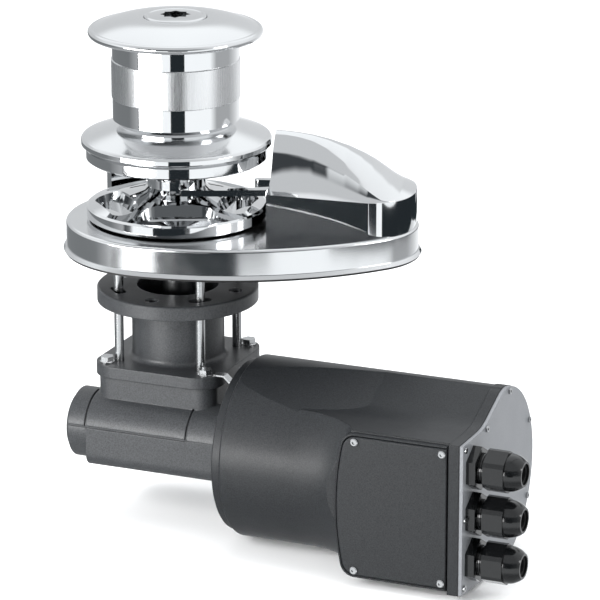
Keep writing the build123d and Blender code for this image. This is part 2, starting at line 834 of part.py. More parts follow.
# Neck: slotted flange, column and top plate in one casting
flange_screw_radius = 3.0
flange_screw_head = 5.5
flange_screw_sink = 6.5
neck_bush_bottom = plate_top - plate_thickness

with BuildPart() as neck:
    with BuildSketch(gear_plane.offset(deck_bottom - flange_thickness)):
        Circle(flange_radius)
    extrude(amount=flange_thickness)
    with BuildSketch(gear_plane.offset(plate_top)):
        Circle(column_radius)
    extrude(amount=deck_bottom - flange_thickness - plate_top)
    with BuildSketch(gear_plane.offset(plate_top - plate_thickness)):
        RectangleRounded(plate_width, plate_width, plate_corner)
    extrude(amount=plate_thickness)
    round_edges = neck.edges().filter_by(GeomType.CIRCLE)
    column_ends = round_edges.filter_by(lambda e: abs(e.radius - column_radius) < 0.01)
    fillet(column_ends, 4)
    chamfer(neck.faces().sort_by(Axis.Z)[-1].edges(), 1.2)
    with BuildSketch(gear_plane.offset(deck_bottom - flange_recess_depth)):
        Circle(flange_recess_radius)
    extrude(amount=flange_recess_depth, mode=Mode.SUBTRACT)
    with BuildSketch(gear_plane.offset(plate_top - plate_thickness)):
        Circle(shaft_radius + bush_wall)
        with PolarLocations(stud_circle, 4, start_angle=45):
            Circle(stud_thread_radius + seat_fit)
        with GridLocations(plate_bolt_pitch, plate_bolt_pitch, 2, 2):
            Circle(plate_bolt_radius + seat_fit)
    extrude(amount=deck_bottom - flange_thickness - plate_top + plate_thickness - 5, mode=Mode.SUBTRACT)
    with BuildSketch(gear_plane.offset(deck_bottom - flange_thickness)):
        with PolarLocations(stud_circle, 4, start_angle=45):
            SlotOverall(stud_slot_length, 2 * stud_radius + 1.6, rotation=90)
        with PolarLocations(stud_circle, 4):
            Circle(flange_screw_radius + seat_fit)
    extrude(amount=flange_thickness, mode=Mode.SUBTRACT)
    with BuildSketch(gear_plane.offset(deck_bottom - flange_screw_sink)):
        with PolarLocations(stud_circle, 4):
            Circle(flange_screw_head + seat_fit)
    extrude(amount=flange_screw_sink, mode=Mode.SUBTRACT)
neck.part.label = "neck"
export_step(neck.part, "parts/neck.step")

with BuildPart() as flange_screws:
    with BuildSketch(gear_plane.offset(deck_bottom - flange_screw_sink)):
        with PolarLocations(stud_circle, 4):
            Circle(flange_screw_head)
    extrude(amount=5.5)
    with BuildSketch(gear_plane.offset(deck_bottom - flange_screw_sink + 2.5)):
        with PolarLocations(stud_circle, 4):
            RegularPolygon(2.9, 6)
    extrude(amount=4, mode=Mode.SUBTRACT)
    with BuildSketch(gear_plane.offset(deck_bottom - flange_screw_sink)):
        with PolarLocations(stud_circle, 4):
            Circle(flange_screw_radius)
    extrude(amount=flange_screw_sink - flange_thickness)
flange_screws.part.label = "flange_screws"
export_step(flange_screws.part, "parts/flange_screws.step")

with BuildPart() as neck_bush:
    with BuildSketch(gear_plane.offset(neck_bush_bottom + 1)):
        Circle(shaft_radius + bush_wall - seat_fit)
        Circle(shaft_radius + running_fit, mode=Mode.SUBTRACT)
    extrude(amount=30)
neck_bush.part.label = "neck_bush"
export_step(neck_bush.part, "parts/neck_bush.step")

with BuildPart() as neck_bolts:
    with BuildSketch(gear_plane.offset(plate_top)):
        with GridLocations(plate_bolt_pitch, plate_bolt_pitch, 2, 2):
            Circle(washer_radius)
    extrude(amount=washer_thickness)
    with BuildSketch(gear_plane.offset(plate_top + washer_thickness)):
        with GridLocations(plate_bolt_pitch, plate_bolt_pitch, 2, 2):
            RegularPolygon(plate_bolt_flats / 2, 6, major_radius=False)
    extrude(amount=plate_bolt_head)
    with BuildSketch(gear_plane.offset(plate_top)):
        with GridLocations(plate_bolt_pitch, plate_bolt_pitch, 2, 2):
            Circle(plate_bolt_radius)
    extrude(amount=-plate_thickness - 12)
neck_bolts.part.label = "neck_bolts"
export_step(neck_bolts.part, "parts/neck_bolts.step")


# Gearbox: worm barrel in front of the wheel chamber, with a parting line and a raised panel
gearbox_top = plate_top - plate_thickness
barrel_front = worm_offset + worm_barrel_radius
barrel_length = gearbox_right - gearbox_left
cap_thickness = 3.0
front_corner = 11.0

with BuildPart() as gearbox:
    with BuildSketch(gear_plane.offset(gearbox_bottom)):
        RectangleRounded(2 * gearbox_half, 2 * gearbox_half, gearbox_corner)
    extrude(amount=gearbox_top - gearbox_bottom)
    with BuildSketch(across_motor(gearbox_right)):
        with Locations((worm_offset, 0)):
            Circle(worm_barrel_radius)
    extrude(amount=barrel_length)
    with BuildSketch(across_motor(gearbox_right)):
        with Locations((barrel_front, gearbox_bottom - worm_height)):
            Rectangle(worm_barrel_radius, parting_height - gearbox_bottom, align=(Align.MAX, Align.MIN))
    extrude(amount=gearbox_right - panel_left)
    lower_corners = (
        gearbox.edges()
        .filter_by_position(Axis.Z, gearbox_bottom - 1, parting_height - 1)
        .filter_by(lambda e: e.length > 20)
        .filter_by(lambda e: e.center().dot(front_direction) > barrel_front - 1)
    )
    fillet(lower_corners.sort_by(Axis.Z)[0], front_corner)
    with BuildSketch(facing_front(barrel_front - groove_depth)):
        with Locations(((gearbox_left + panel_right) / 2, parting_height - worm_height)):
            Rectangle(panel_right - gearbox_left, groove_width)
    extrude(amount=2 * groove_depth, mode=Mode.SUBTRACT)
    with BuildSketch(across_motor(panel_left), across_motor(panel_right)):
        with Locations((worm_offset, 0)):
            Circle(worm_barrel_radius + 1)
            Circle(worm_barrel_radius - groove_depth, mode=Mode.SUBTRACT)
            with Locations((worm_barrel_radius / 2, parting_height - worm_height)):
                Rectangle(
                    4 * worm_barrel_radius,
                    2 * worm_barrel_radius,
                    align=(Align.CENTER, Align.MAX),
                    mode=Mode.SUBTRACT,
                )
            with Locations((0, 0)):
                Rectangle(
                    2 * worm_barrel_radius,
                    3 * worm_barrel_radius,
                    align=(Align.MAX, Align.CENTER),
                    mode=Mode.SUBTRACT,
                )
    extrude(amount=groove_width, mode=Mode.SUBTRACT)
    with BuildSketch(gear_plane.offset(gearbox_bottom)):
        Circle(chamber_radius)
    extrude(amount=gearbox_top - gearbox_bottom, mode=Mode.SUBTRACT)
    with BuildSketch(across_motor(gearbox_right)):
        with Locations((worm_offset, 0)):
            Circle(worm_bore_radius)
    extrude(amount=barrel_length, mode=Mode.SUBTRACT)
    with BuildSketch(gear_plane.offset(gearbox_top)):
        with GridLocations(plate_bolt_pitch, plate_bolt_pitch, 2, 2):
            Circle(plate_bolt_radius + seat_fit)
    extrude(amount=-14, mode=Mode.SUBTRACT)
    with BuildSketch(gear_plane.offset(gearbox_bottom)):
        with GridLocations(cover_bolt_pitch, cover_bolt_pitch, 2, 2):
            Circle(cover_bolt_radius + seat_fit)
    extrude(amount=12, mode=Mode.SUBTRACT)
gearbox.part.label = "gearbox"
export_step(gearbox.part, "parts/gearbox.step")

# Cover under the wheel chamber, with the lower bush of the shaft
with BuildPart() as gearbox_cover:
    with BuildSketch(gear_plane.offset(gearbox_bottom - cover_thickness)):
        RectangleRounded(cover_width, cover_width, gearbox_corner)
    extrude(amount=cover_thickness)
    with BuildSketch(gear_plane.offset(gearbox_bottom)):
        Circle(chamber_radius - running_fit)
    extrude(amount=cover_spigot)
    with BuildSketch(gear_plane.offset(gearbox_bottom)):
        Circle(shaft_tail_radius + bush_wall)
    extrude(amount=cover_spigot, mode=Mode.SUBTRACT)
    with BuildSketch(gear_plane.offset(gearbox_bottom - cover_thickness)):
        with GridLocations(cover_bolt_pitch, cover_bolt_pitch, 2, 2):
            Circle(cover_bolt_radius + seat_fit)
    extrude(amount=cover_thickness, mode=Mode.SUBTRACT)
gearbox_cover.part.label = "gearbox_cover"
export_step(gearbox_cover.part, "parts/gearbox_cover.step")

with BuildPart() as cover_screws:
    with BuildSketch(gear_plane.offset(gearbox_bottom - cover_thickness)):
        with GridLocations(cover_bolt_pitch, cover_bolt_pitch, 2, 2):
            Circle(cover_bolt_radius)
    extrude(amount=cover_thickness + 10)
    with BuildSketch(gear_plane.offset(gearbox_bottom - cover_thickness)):
        with GridLocations(cover_bolt_pitch, cover_bolt_pitch, 2, 2):
            Circle(1.7 * cover_bolt_radius)
            RegularPolygon(cover_bolt_radius * 0.9, 6, mode=Mode.SUBTRACT)
    extrude(amount=-3)
cover_screws.part.label = "cover_screws"
export_step(cover_screws.part, "parts/cover_screws.step")

with BuildPart() as lower_bush:
    with BuildSketch(gear_plane.offset(gearbox_bottom)):
        Circle(shaft_tail_radius + bush_wall - seat_fit)
        Circle(shaft_tail_radius + running_fit, mode=Mode.SUBTRACT)
    extrude(amount=cover_spigot)
lower_bush.part.label = "lower_bush"
export_step(lower_bush.part, "parts/lower_bush.step")

# Closing cap of the worm bore and the two bushes of the worm
with BuildPart() as worm_cap:
    with BuildSketch(across_motor(gearbox_left)):
        with Locations((worm_offset, 0)):
            Circle(worm_barrel_radius - 3)
    extrude(amount=cap_thickness)
    chamfer(worm_cap.faces().sort_by(Axis((0, 0, 0), motor_direction))[0].edges(), 1.2)
worm_cap.part.label = "worm_cap"
export_step(worm_cap.part, "parts/worm_cap.step")

with BuildPart() as worm_bushes:
    with BuildSketch(across_motor(gearbox_left + 13), across_motor(gearbox_right - 4)):
        with Locations((worm_offset, 0)):
            Circle(worm_bore_radius - seat_fit)
            Circle(worm_shaft_radius + running_fit, mode=Mode.SUBTRACT)
    extrude(amount=12)
worm_bushes.part.label = "worm_bushes"
export_step(worm_bushes.part, "parts/worm_bushes.step")

# Worm with its thread, and the bronze wheel that it turns
worm_thread_sink = 0.3
thread_start = (worm_thread_length - worm_pitch) / 2
thread_centre = across_motor(thread_start).from_local_coords(Vector(worm_offset, 0, 0))

with BuildPart() as worm:
    with BuildSketch(across_motor(armature_start - 4)):
        with Locations((worm_offset, 0)):
            Circle(worm_shaft_radius)
    extrude(amount=armature_start - 4 - gearbox_left - 1)
    with BuildSketch(across_motor(worm_thread_length / 2)):
        with Locations((worm_offset, 0)):
            Circle(worm_root_radius)
    extrude(amount=worm_thread_length)
    with BuildLine():
        thread_path = Helix(
            worm_pitch,
            worm_thread_length - worm_pitch,
            worm_root_radius - worm_thread_sink,
            center=thread_centre,
            direction=motor_direction * -1,
        )
    thread_foot = thread_path @ 0
    with BuildSketch(Plane(origin=thread_foot, x_dir=thread_foot - thread_centre, z_dir=thread_path % 0)):
        Trapezoid(
            0.55 * worm_pitch,
            worm_tip_radius - worm_root_radius + worm_thread_sink,
            70,
            rotation=-90,
            align=(Align.CENTER, Align.MIN),
        )
    sweep(path=thread_path, is_frenet=True)
worm.part.label = "worm"
export_step(worm.part, "parts/worm.step")

gear_space = 1.4 * pi * gear_tip_radius / wheel_teeth

with BuildPart() as worm_wheel:
    with BuildSketch(gear_plane.offset(worm_height)):
        Circle(gear_tip_radius)
    extrude(amount=gear_width / 2, both=True)
    with BuildSketch(gear_plane.offset(worm_height)):
        with PolarLocations(gear_tip_radius, wheel_teeth):
            Trapezoid(gear_space, 2 * gear_tooth_depth, 78, rotation=90)
    extrude(amount=gear_width / 2, both=True, mode=Mode.SUBTRACT)
    with BuildSketch(gear_plane.offset(worm_height - gear_width / 2)):
        Circle(shaft_radius + seat_fit)
    extrude(amount=gear_width, mode=Mode.SUBTRACT)
    with Locations((key_centre, 0, worm_height)):
        Box(key_height, key_width, gear_width, mode=Mode.SUBTRACT)
worm_wheel.part.label = "worm_wheel"
export_step(worm_wheel.part, "parts/worm_wheel.step")


# Motor cover: a round shell whose front swells into the terminal box
slope_sine = sin(radians(-shoulder_slope))
slope_cosine = cos(radians(shoulder_slope))
shoulder_normal = front_direction * slope_sine + Vector(0, 0, slope_cosine)
shoulder_origin = (
    motor_direction * box_left
    + front_direction * (worm_offset + shoulder_start)
    + Vector(0, 0, worm_height + motor_radius - shoulder_drop)
)
shoulder_plane = Plane(
    origin=shoulder_origin,
    x_dir=motor_direction.cross(shoulder_normal),
    z_dir=shoulder_normal * cos(radians(shoulder_run)) + motor_direction * sin(radians(shoulder_run)),
)


def shoulder_section(inset):
    """Section of the round shell with its sloping shoulder, moved in by a distance."""
    with BuildSketch(Plane.XY, mode=Mode.PRIVATE) as section:
        with Locations((worm_offset, 0)):
            Circle(motor_radius - inset)
        foot = (
            worm_offset + shoulder_start - inset * slope_sine,
            motor_radius - shoulder_drop - inset * slope_cosine,
        )
        with Locations(Location(foot, shoulder_slope)):
            Rectangle(
                4 * motor_radius,
                2 * motor_radius,
                align=(Align.CENTER, Align.MIN),
                mode=Mode.SUBTRACT,
            )
    return section.sketch


def motor_form(inset, start, end):
    """Body of the motor between two stations: round, then with a shoulder beside the box."""
    with BuildPart(mode=Mode.PRIVATE) as form:
        with BuildSketch(across_motor(box_left)):
            with Locations((worm_offset, 0)):
                Circle(motor_radius - inset)
        extrude(amount=box_left - start)
        with BuildSketch(shoulder_plane.offset(-inset)):
            Rectangle(6 * motor_radius, 6 * motor_radius)
        extrude(amount=2 * motor_radius, mode=Mode.SUBTRACT)
        with BuildSketch(across_motor(end)):
            add(shoulder_section(inset))
        extrude(amount=end - box_left)
    return form.part


def box_profile(inset):
    """Section square to the motor: the round shell with a sloping shoulder that runs into the box."""
    radius = motor_radius - inset
    bottom = box_bottom_rise - motor_radius + inset
    top = box_top - worm_height - inset
    front = box_strip - inset
    with BuildSketch(Plane.XY, mode=Mode.PRIVATE) as section:
        add(shoulder_section(inset))
        with BuildLine():
            Polyline(
                (worm_offset, -radius),
                (front, bottom),
                (front, top),
                (worm_offset, top),
                close=True,
            )
        make_face()
        throat = section.vertices().filter_by_position(Axis.X, worm_offset + shoulder_start, front - 5)
        fillet(throat.sort_by(Axis.Y)[-1], box_throat + inset)
        shoulder = section.vertices().sort_by(Axis.Y)[-1]
        fillet(shoulder, shoulder_round - inset)
    return section.sketch


def flare_section():
    """Half section of the swelling, turned about the motor axis: it leaves the shell in a hollow curve."""
    flare_start = box_left - swell_length
    flare_end = box_left + swell_overlap
    with BuildSketch(Plane.XY, mode=Mode.PRIVATE) as section:
        with Locations((flare_start, -worm_offset)):
            Rectangle(flare_end - flare_start, motor_radius + swell_depth, align=(Align.MIN, Align.MAX))
        with Locations((flare_start, -worm_offset - motor_radius - swell_depth)):
            Ellipse(flare_end - flare_start, swell_depth, mode=Mode.SUBTRACT)
        with Locations((flare_end, -worm_offset)):
            Rectangle(cover_end - flare_end, 2 * motor_radius, align=(Align.MIN, Align.MAX))
    return section.sketch


def box_outline(left_inset, right):
    """Front view of the box and the lid: square at the right, bulged at the left."""
    bottom = lid_bottom + left_inset - worm_height
    top = lid_top - left_inset - worm_height
    left = box_left + left_inset
    with BuildSketch(Plane.XY, mode=Mode.PRIVATE) as outline:
        with BuildLine():
            ThreePointArc((left, top), (left - box_bulge, (bottom + top) / 2), (left, bottom))
            Polyline((left, bottom), (right, bottom), (right, top), (left, top))
        make_face()
        fillet(outline.vertices().sort_by(Axis.X)[:2], lid_corner)
    return outline.sketch


lid_centre = (lid_left + lid_right) / 2
lid_middle = (lid_top + lid_bottom) / 2

with BuildPart() as cover_block:
    with BuildSketch(across_motor(cover_end)):
        add(box_profile(0))
    extrude(amount=cover_end - box_left + swell_length)
    with BuildSketch(across_motor(cover_end)):
        with Locations((box_front, -motor_radius)):
            Rectangle(2 * lid_strip_rise, 2 * motor_radius, align=(Align.MIN, Align.MIN))
    extrude(amount=cover_end - box_left + swell_length, mode=Mode.SUBTRACT)
    with BuildSketch(gear_plane.offset(worm_height)):
        add(flare_section())
    revolve(axis=motor_axis, mode=Mode.INTERSECT)
    with BuildSketch(facing_front(box_front - pad_height)):
        add(box_outline(0, lid_right))
    extrude(amount=pad_height + lid_rim_height)
    rim_face = cover_block.faces().sort_by(Axis((0, 0, 0), front_direction))[-1]
    chamfer(rim_face.outer_wire().edges(), 0.8)
    with BuildSketch(facing_front(box_front)):
        add(box_outline(lid_rim, lid_right + 1))
    extrude(amount=2 * lid_rim_height, mode=Mode.SUBTRACT)
    with BuildSketch(across_motor(cover_end)):
        add(box_profile(-end_band_rise))
    extrude(amount=end_band_width)

with BuildPart() as cover_space:
    add(motor_form(motor_wall, ring_end + motor_wall, cover_end))
    with BuildSketch(across_motor(ring_end + motor_wall)):
        with Locations((worm_offset, 0)):
            Circle(motor_radius - 3 * motor_wall)
    extrude(amount=2 * motor_wall)
    with BuildSketch(facing_front(worm_offset)):
        with Locations(((box_left + cover_end) / 2 + box_wall, lid_middle - worm_height)):
            Rectangle(cover_end - box_left - 2 * box_wall, lid_top - lid_bottom - 3 * box_wall)
    extrude(amount=box_front - box_wall - worm_offset)
    with BuildSketch(facing_front(box_front - 3 * pad_height)):
        with Locations((lid_centre, lid_middle - worm_height)):
            RectangleRounded(
                lid_right - lid_left - 5 * lid_screw_inset / 2,
                lid_top - lid_bottom - 5 * lid_screw_inset / 2,
                lid_corner / 2,
            )
    extrude(amount=4 * pad_height)

with BuildPart() as motor_cover:
    add(motor_form(0, ring_end + cover_bevel, cover_end))
    with BuildSketch(across_motor(ring_end + cover_bevel)):
        with Locations((worm_offset, 0)):
            Circle(motor_radius)
    extrude(amount=cover_bevel, taper=45)
    add(cover_block.part)
    add(cover_space.part, mode=Mode.SUBTRACT)
motor_cover.part.label = "motor_cover"
export_step(motor_cover.part, "parts/motor_cover.step")

with BuildPart() as lid_seal:
    with BuildSketch(facing_front(box_front)):
        add(box_outline(lid_rim + lid_gap + 1, lid_right - 1))
        with Locations((lid_centre, lid_middle - worm_height)):
            RectangleRounded(
                lid_right - lid_left - 5 * lid_screw_inset / 2,
                lid_top - lid_bottom - 5 * lid_screw_inset / 2,
                lid_corner / 2,
                mode=Mode.SUBTRACT,
            )
            with GridLocations(lid_screw_pitch_x, lid_screw_pitch_y, 2, 2):
                Circle(lid_screw_radius + seat_fit, mode=Mode.SUBTRACT)
    extrude(amount=lid_seal_thickness)
lid_seal.part.label = "lid_seal"
export_step(lid_seal.part, "parts/lid_seal.step")

with BuildPart() as box_lid:
    with BuildSketch(facing_front(box_front + lid_seal_thickness)):
        add(box_outline(lid_rim + lid_gap, lid_right))
        with Locations((lid_centre, lid_middle - worm_height)):
            with GridLocations(lid_screw_pitch_x, lid_screw_pitch_y, 2, 2):
                Circle(lid_screw_radius + seat_fit, mode=Mode.SUBTRACT)
    extrude(amount=lid_thickness)
    lid_front = box_lid.faces().sort_by(Axis((0, 0, 0), front_direction))[-1]
    chamfer(lid_front.outer_wire().edges(), 0.8)
box_lid.part.label = "box_lid"
export_step(box_lid.part, "parts/box_lid.step")

with BuildPart() as lid_screws:
    with BuildSketch(facing_front(box_front + lid_seal_thickness + lid_thickness)):
        with Locations((lid_centre, lid_middle - worm_height)):
            with GridLocations(lid_screw_pitch_x, lid_screw_pitch_y, 2, 2):
                Circle(lid_screw_head)
    extrude(amount=1.8)
    chamfer(lid_screws.faces().sort_by(Axis((0, 0, 0), front_direction))[-4:].edges(), 0.7)
    with BuildSketch(facing_front(box_front + lid_seal_thickness + lid_thickness + 0.8)):
        with Locations((lid_centre, lid_middle - worm_height)):
            with GridLocations(lid_screw_pitch_x, lid_screw_pitch_y, 2, 2):
                RegularPolygon(1.5, 6)
    extrude(amount=2, mode=Mode.SUBTRACT)
    with BuildSketch(facing_front(box_front + lid_seal_thickness + lid_thickness)):
        with Locations((lid_centre, lid_middle - worm_height)):
            with GridLocations(lid_screw_pitch_x, lid_screw_pitch_y, 2, 2):
                Circle(lid_screw_radius)
    extrude(amount=-lid_thickness - lid_seal_thickness)
lid_screws.part.label = "lid_screws"
export_step(lid_screws.part, "parts/lid_screws.step")

# Ring between gearbox and motor
with BuildPart() as motor_ring:
    with BuildSketch(across_motor(ring_end)):
        with Locations((worm_offset, 0)):
            Circle(ring_radius)
            Circle(worm_bore_radius, mode=Mode.SUBTRACT)
    extrude(amount=ring_thickness)
    ring_faces = motor_ring.faces().sort_by(Axis((0, 0, 0), motor_direction))
    chamfer(ring_faces[0].outer_wire().edges(), 1.0)
motor_ring.part.label = "motor_ring"
export_step(motor_ring.part, "parts/motor_ring.step")

# End plate in the same outline, with its screws
end_screw_radius = 1.5
end_screw_head = 2.4
end_screw_edge = 3.6
end_screw_angles = (104, 155, 209, 255)
curve_screw_across = worm_offset + 34
curve_screw_height = box_top - 1
end_screw_shell = [
    (
        worm_offset + (motor_radius - end_screw_edge) * cos(radians(angle)),
        (motor_radius - end_screw_edge) * sin(radians(angle)),
    )
    for angle in end_screw_angles
]
end_screw_box = [
    (box_strip - end_screw_edge, box_top - worm_height - end_screw_edge),
    (box_strip - end_screw_edge, gland_middle - worm_height),
    (box_strip - end_screw_edge, box_bottom_rise - motor_radius + end_screw_edge + 1),
    (curve_screw_across, curve_screw_height - worm_height),
]
end_screw_places = end_screw_shell + end_screw_box
gland_places = [(gland_across, height - worm_height) for height in gland_heights]

with BuildPart() as end_plate:
    with BuildSketch(across_motor(motor_end)):
        add(box_profile(0.4 - end_band_rise))
        with Locations(*gland_places):
            Circle(gland_thread_radius + seat_fit, mode=Mode.SUBTRACT)
        with Locations(*end_screw_places):
            Circle(end_screw_radius + seat_fit, mode=Mode.SUBTRACT)
    extrude(amount=end_plate_thickness)
    with BuildSketch(across_motor(cover_end)):
        with Locations((worm_offset, 0)):
            Circle(worm_bore_radius)
            Circle(worm_shaft_radius + running_fit, mode=Mode.SUBTRACT)
    extrude(amount=10)
end_plate.part.label = "end_plate"
export_step(end_plate.part, "parts/end_plate.step")

with BuildPart() as end_screws:
    with BuildSketch(across_motor(motor_end + 1.6)):
        with Locations(*end_screw_places):
            Circle(end_screw_head)
            RegularPolygon(1.2, 6, mode=Mode.SUBTRACT)
    extrude(amount=1.6)
    with BuildSketch(across_motor(motor_end)):
        with Locations(*end_screw_places):
            Circle(end_screw_radius)
    extrude(amount=end_plate_thickness)
    with BuildSketch(across_motor(motor_end + 0.5)):
        with Locations(*end_screw_places):
            Circle(end_screw_radius)
    extrude(amount=0.6)
end_screws.part.label = "end_screws"
export_step(end_screws.part, "parts/end_screws.step")

# Cable glands: body with hex base and thread, domed nut with flats, rubber insert
gland_base_end = motor_end + gland_base_length
gland_neck_end = gland_base_end + gland_neck_length
gland_nut_end = gland_neck_end + gland_nut_length
gland_tip = gland_nut_end + gland_dome_length

with BuildPart() as gland_bodies:
    with BuildSketch(across_motor(gland_base_end)):
        with Locations(*gland_places):
            RegularPolygon(gland_flats / 2, 6, major_radius=False, rotation=30)
    extrude(amount=gland_base_length)
    with BuildSketch(across_motor(gland_neck_end + 6)):
        with Locations(*gland_places):
            Circle(gland_thread_radius - 0.6)
    extrude(amount=gland_neck_length + 6)
    for ring in range(3):
        with BuildSketch(across_motor(gland_base_end + 1.8 * ring + 1.4)):
            with Locations(*gland_places):
                Circle(gland_thread_radius + 0.4)
        extrude(amount=0.9)
    with BuildSketch(across_motor(motor_end)):
        with Locations(*gland_places):
            Circle(gland_thread_radius)
    extrude(amount=end_plate_thickness + 5)
    with BuildSketch(across_motor(gland_neck_end + 6)):
        with Locations(*gland_places):
            Circle(gland_bore)
    extrude(amount=60, mode=Mode.SUBTRACT)
gland_bodies.part.label = "gland_bodies"
export_step(gland_bodies.part, "parts/gland_bodies.step")

with BuildPart() as gland_nuts:
    for place in gland_places:
        gland_axis = Plane(
            origin=across_motor(gland_neck_end).from_local_coords(Vector(place[0], place[1], 0)),
            x_dir=(0, 0, 1),
            z_dir=motor_direction,
        )
        with BuildSketch(gland_axis):
            RegularPolygon(gland_flats / 2, 6, major_radius=False)
            RegularPolygon(gland_corner_flats / 2, 6, major_radius=False, rotation=30, mode=Mode.INTERSECT)
        extrude(amount=gland_nut_length)
        profile_plane = Plane(origin=gland_axis.origin, x_dir=(0, 0, 1), z_dir=gland_axis.y_dir * -1)
        with BuildSketch(profile_plane):
            with BuildLine():
                Line((0, gland_nut_length - 1), (gland_flats / 2 - 0.6, gland_nut_length - 1))
                ThreePointArc(
                    (gland_flats / 2 - 0.6, gland_nut_length - 1),
                    (gland_flats / 2 - 1.7, gland_nut_length + 0.55 * gland_dome_length),
                    (gland_bore + 1.6, gland_nut_length + gland_dome_length),
                )
                Polyline(
                    (gland_bore + 1.6, gland_nut_length + gland_dome_length),
                    (0, gland_nut_length + gland_dome_length),
                    (0, gland_nut_length - 1),
                )
            make_face()
        revolve(axis=Axis(gland_axis.origin, motor_direction))
        with BuildSketch(gland_axis):
            Circle(gland_thread_radius + 0.5)
        extrude(amount=gland_nut_length - 4, mode=Mode.SUBTRACT)
        with BuildSketch(gland_axis):
            Circle(gland_bore)
        extrude(amount=gland_nut_length + gland_dome_length, mode=Mode.SUBTRACT)
gland_nuts.part.label = "gland_nuts"
export_step(gland_nuts.part, "parts/gland_nuts.step")

with BuildPart() as gland_seals:
    with BuildSketch(across_motor(gland_tip - 2)):
        with Locations(*gland_places):
            Circle(gland_bore - seat_fit)
            Circle(gland_bore - 2.5, mode=Mode.SUBTRACT)
    extrude(amount=20)
gland_seals.part.label = "gland_seals"
export_step(gland_seals.part, "parts/gland_seals.step")

# Motor inside: field ring, armature with slots, commutator
field_window_margin = 10

with BuildPart() as stator:
    add(motor_form(motor_wall + seat_fit, stator_start, stator_start + stator_length))
    with BuildSketch(across_motor(stator_start + stator_length)):
        with Locations((worm_offset, 0)):
            Circle(stator_bore)
    extrude(amount=stator_length, mode=Mode.SUBTRACT)
    with BuildSketch(facing_front(worm_offset + stator_bore - 4)):
        with Locations(((lid_left + cover_end) / 2, (box_top + motor_bottom) / 2 - worm_height)):
            Rectangle(cover_end - lid_left + 2 * field_window_margin, 2 * motor_radius)
    extrude(amount=motor_radius, mode=Mode.SUBTRACT)
stator.part.label = "stator"
export_step(stator.part, "parts/stator.step")

armature_end = armature_start + armature_length

with BuildPart() as armature:
    with BuildSketch(across_motor(armature_end)):
        with Locations((worm_offset, 0)):
            Circle(armature_radius)
            with PolarLocations(armature_radius, armature_slots):
                Rectangle(2 * armature_slot_depth, armature_slot_width, mode=Mode.SUBTRACT)
    extrude(amount=armature_length)
    with BuildSketch(across_motor(cover_end - 1)):
        with Locations((worm_offset, 0)):
            Circle(worm_shaft_radius)
    extrude(amount=cover_end - armature_start + 3)
armature.part.label = "armature"
export_step(armature.part, "parts/armature.step")

with BuildPart() as commutator:
    with BuildSketch(across_motor(armature_end + commutator_length + 1)):
        with Locations((worm_offset, 0)):
            Circle(armature_radius / 2)
            Circle(worm_shaft_radius + seat_fit, mode=Mode.SUBTRACT)
            with PolarLocations(armature_radius / 2, armature_slots):
                Rectangle(6, 1.2, mode=Mode.SUBTRACT)
    extrude(amount=commutator_length)
commutator.part.label = "commutator"
export_step(commutator.part, "parts/commutator.step")

# Terminal block on the floor of the box
terminal_height = 18.0
box_floor = lid_bottom + 1.5 * box_wall

with BuildPart() as terminal_block:
    with BuildSketch(gear_plane.offset(box_floor)):
        with Locations(((lid_left + lid_right) / 2, -gland_across)):
            Rectangle(60, 14)
    extrude(amount=terminal_height)
    with BuildSketch(gear_plane.offset(box_floor + terminal_height)):
        with Locations(((lid_left + lid_right) / 2, -gland_across)):
            with GridLocations(20, 1, 3, 1):
                Circle(3)
    extrude(amount=8)
terminal_block.part.label = "terminal_block"
export_step(terminal_block.part, "parts/terminal_block.step")

# Earth strap between the top plate and the motor ring, with its screw
strap_thickness = 1.2
strap_across = 40.0
strap_width = 8.0
strap_foot = 50.7
strap_rise = 12.0
strap_screw_flats = 8.0
strap_screw_head = 3.2

with BuildPart() as earth_strap:
    strap_plane = facing_front(strap_across - strap_width / 2)
    foot_height = plate_top - worm_height
    face_station = gearbox_right
    with BuildSketch(strap_plane):
        with BuildLine():
            Polyline(
                (strap_foot, foot_height + strap_thickness / 2),
                (plate_width / 2 + 4, foot_height + strap_thickness / 2),
                (plate_width / 2 + 9, foot_height - 4),
                (face_station - strap_thickness / 2, foot_height - 4),
                (face_station - strap_thickness / 2, foot_height + strap_rise),
            )
        trace(line_width=strap_thickness)
    extrude(amount=strap_width)
earth_strap.part.label = "earth_strap"
export_step(earth_strap.part, "parts/earth_strap.step")

with BuildPart() as earth_screw:
    screw_plane = Plane(
        origin=across_motor(face_station - strap_thickness).from_local_coords(
            Vector(strap_across, foot_height + strap_rise / 2, 0)
        ),
        z_dir=motor_direction * -1,
    )
    with BuildSketch(screw_plane):
        RegularPolygon(strap_screw_flats / 2, 6, major_radius=False)
    extrude(amount=strap_screw_head)
earth_screw.part.label = "earth_screw"
export_step(earth_screw.part, "parts/earth_screw.step")
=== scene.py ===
"""Looks of a vertical anchor windlass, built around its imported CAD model.

The deck unit, drum and chain wheel are polished stainless steel. The gearbox, the motor cover and
the terminal box are aluminium castings with a charcoal coating. The hood is formed here, because
its walls and its crowned top are softer than the solid's.
"""

import json
import logging
import math
from dataclasses import dataclass
from enum import Enum

import bmesh
import bpy
from mathutils import Matrix, Vector

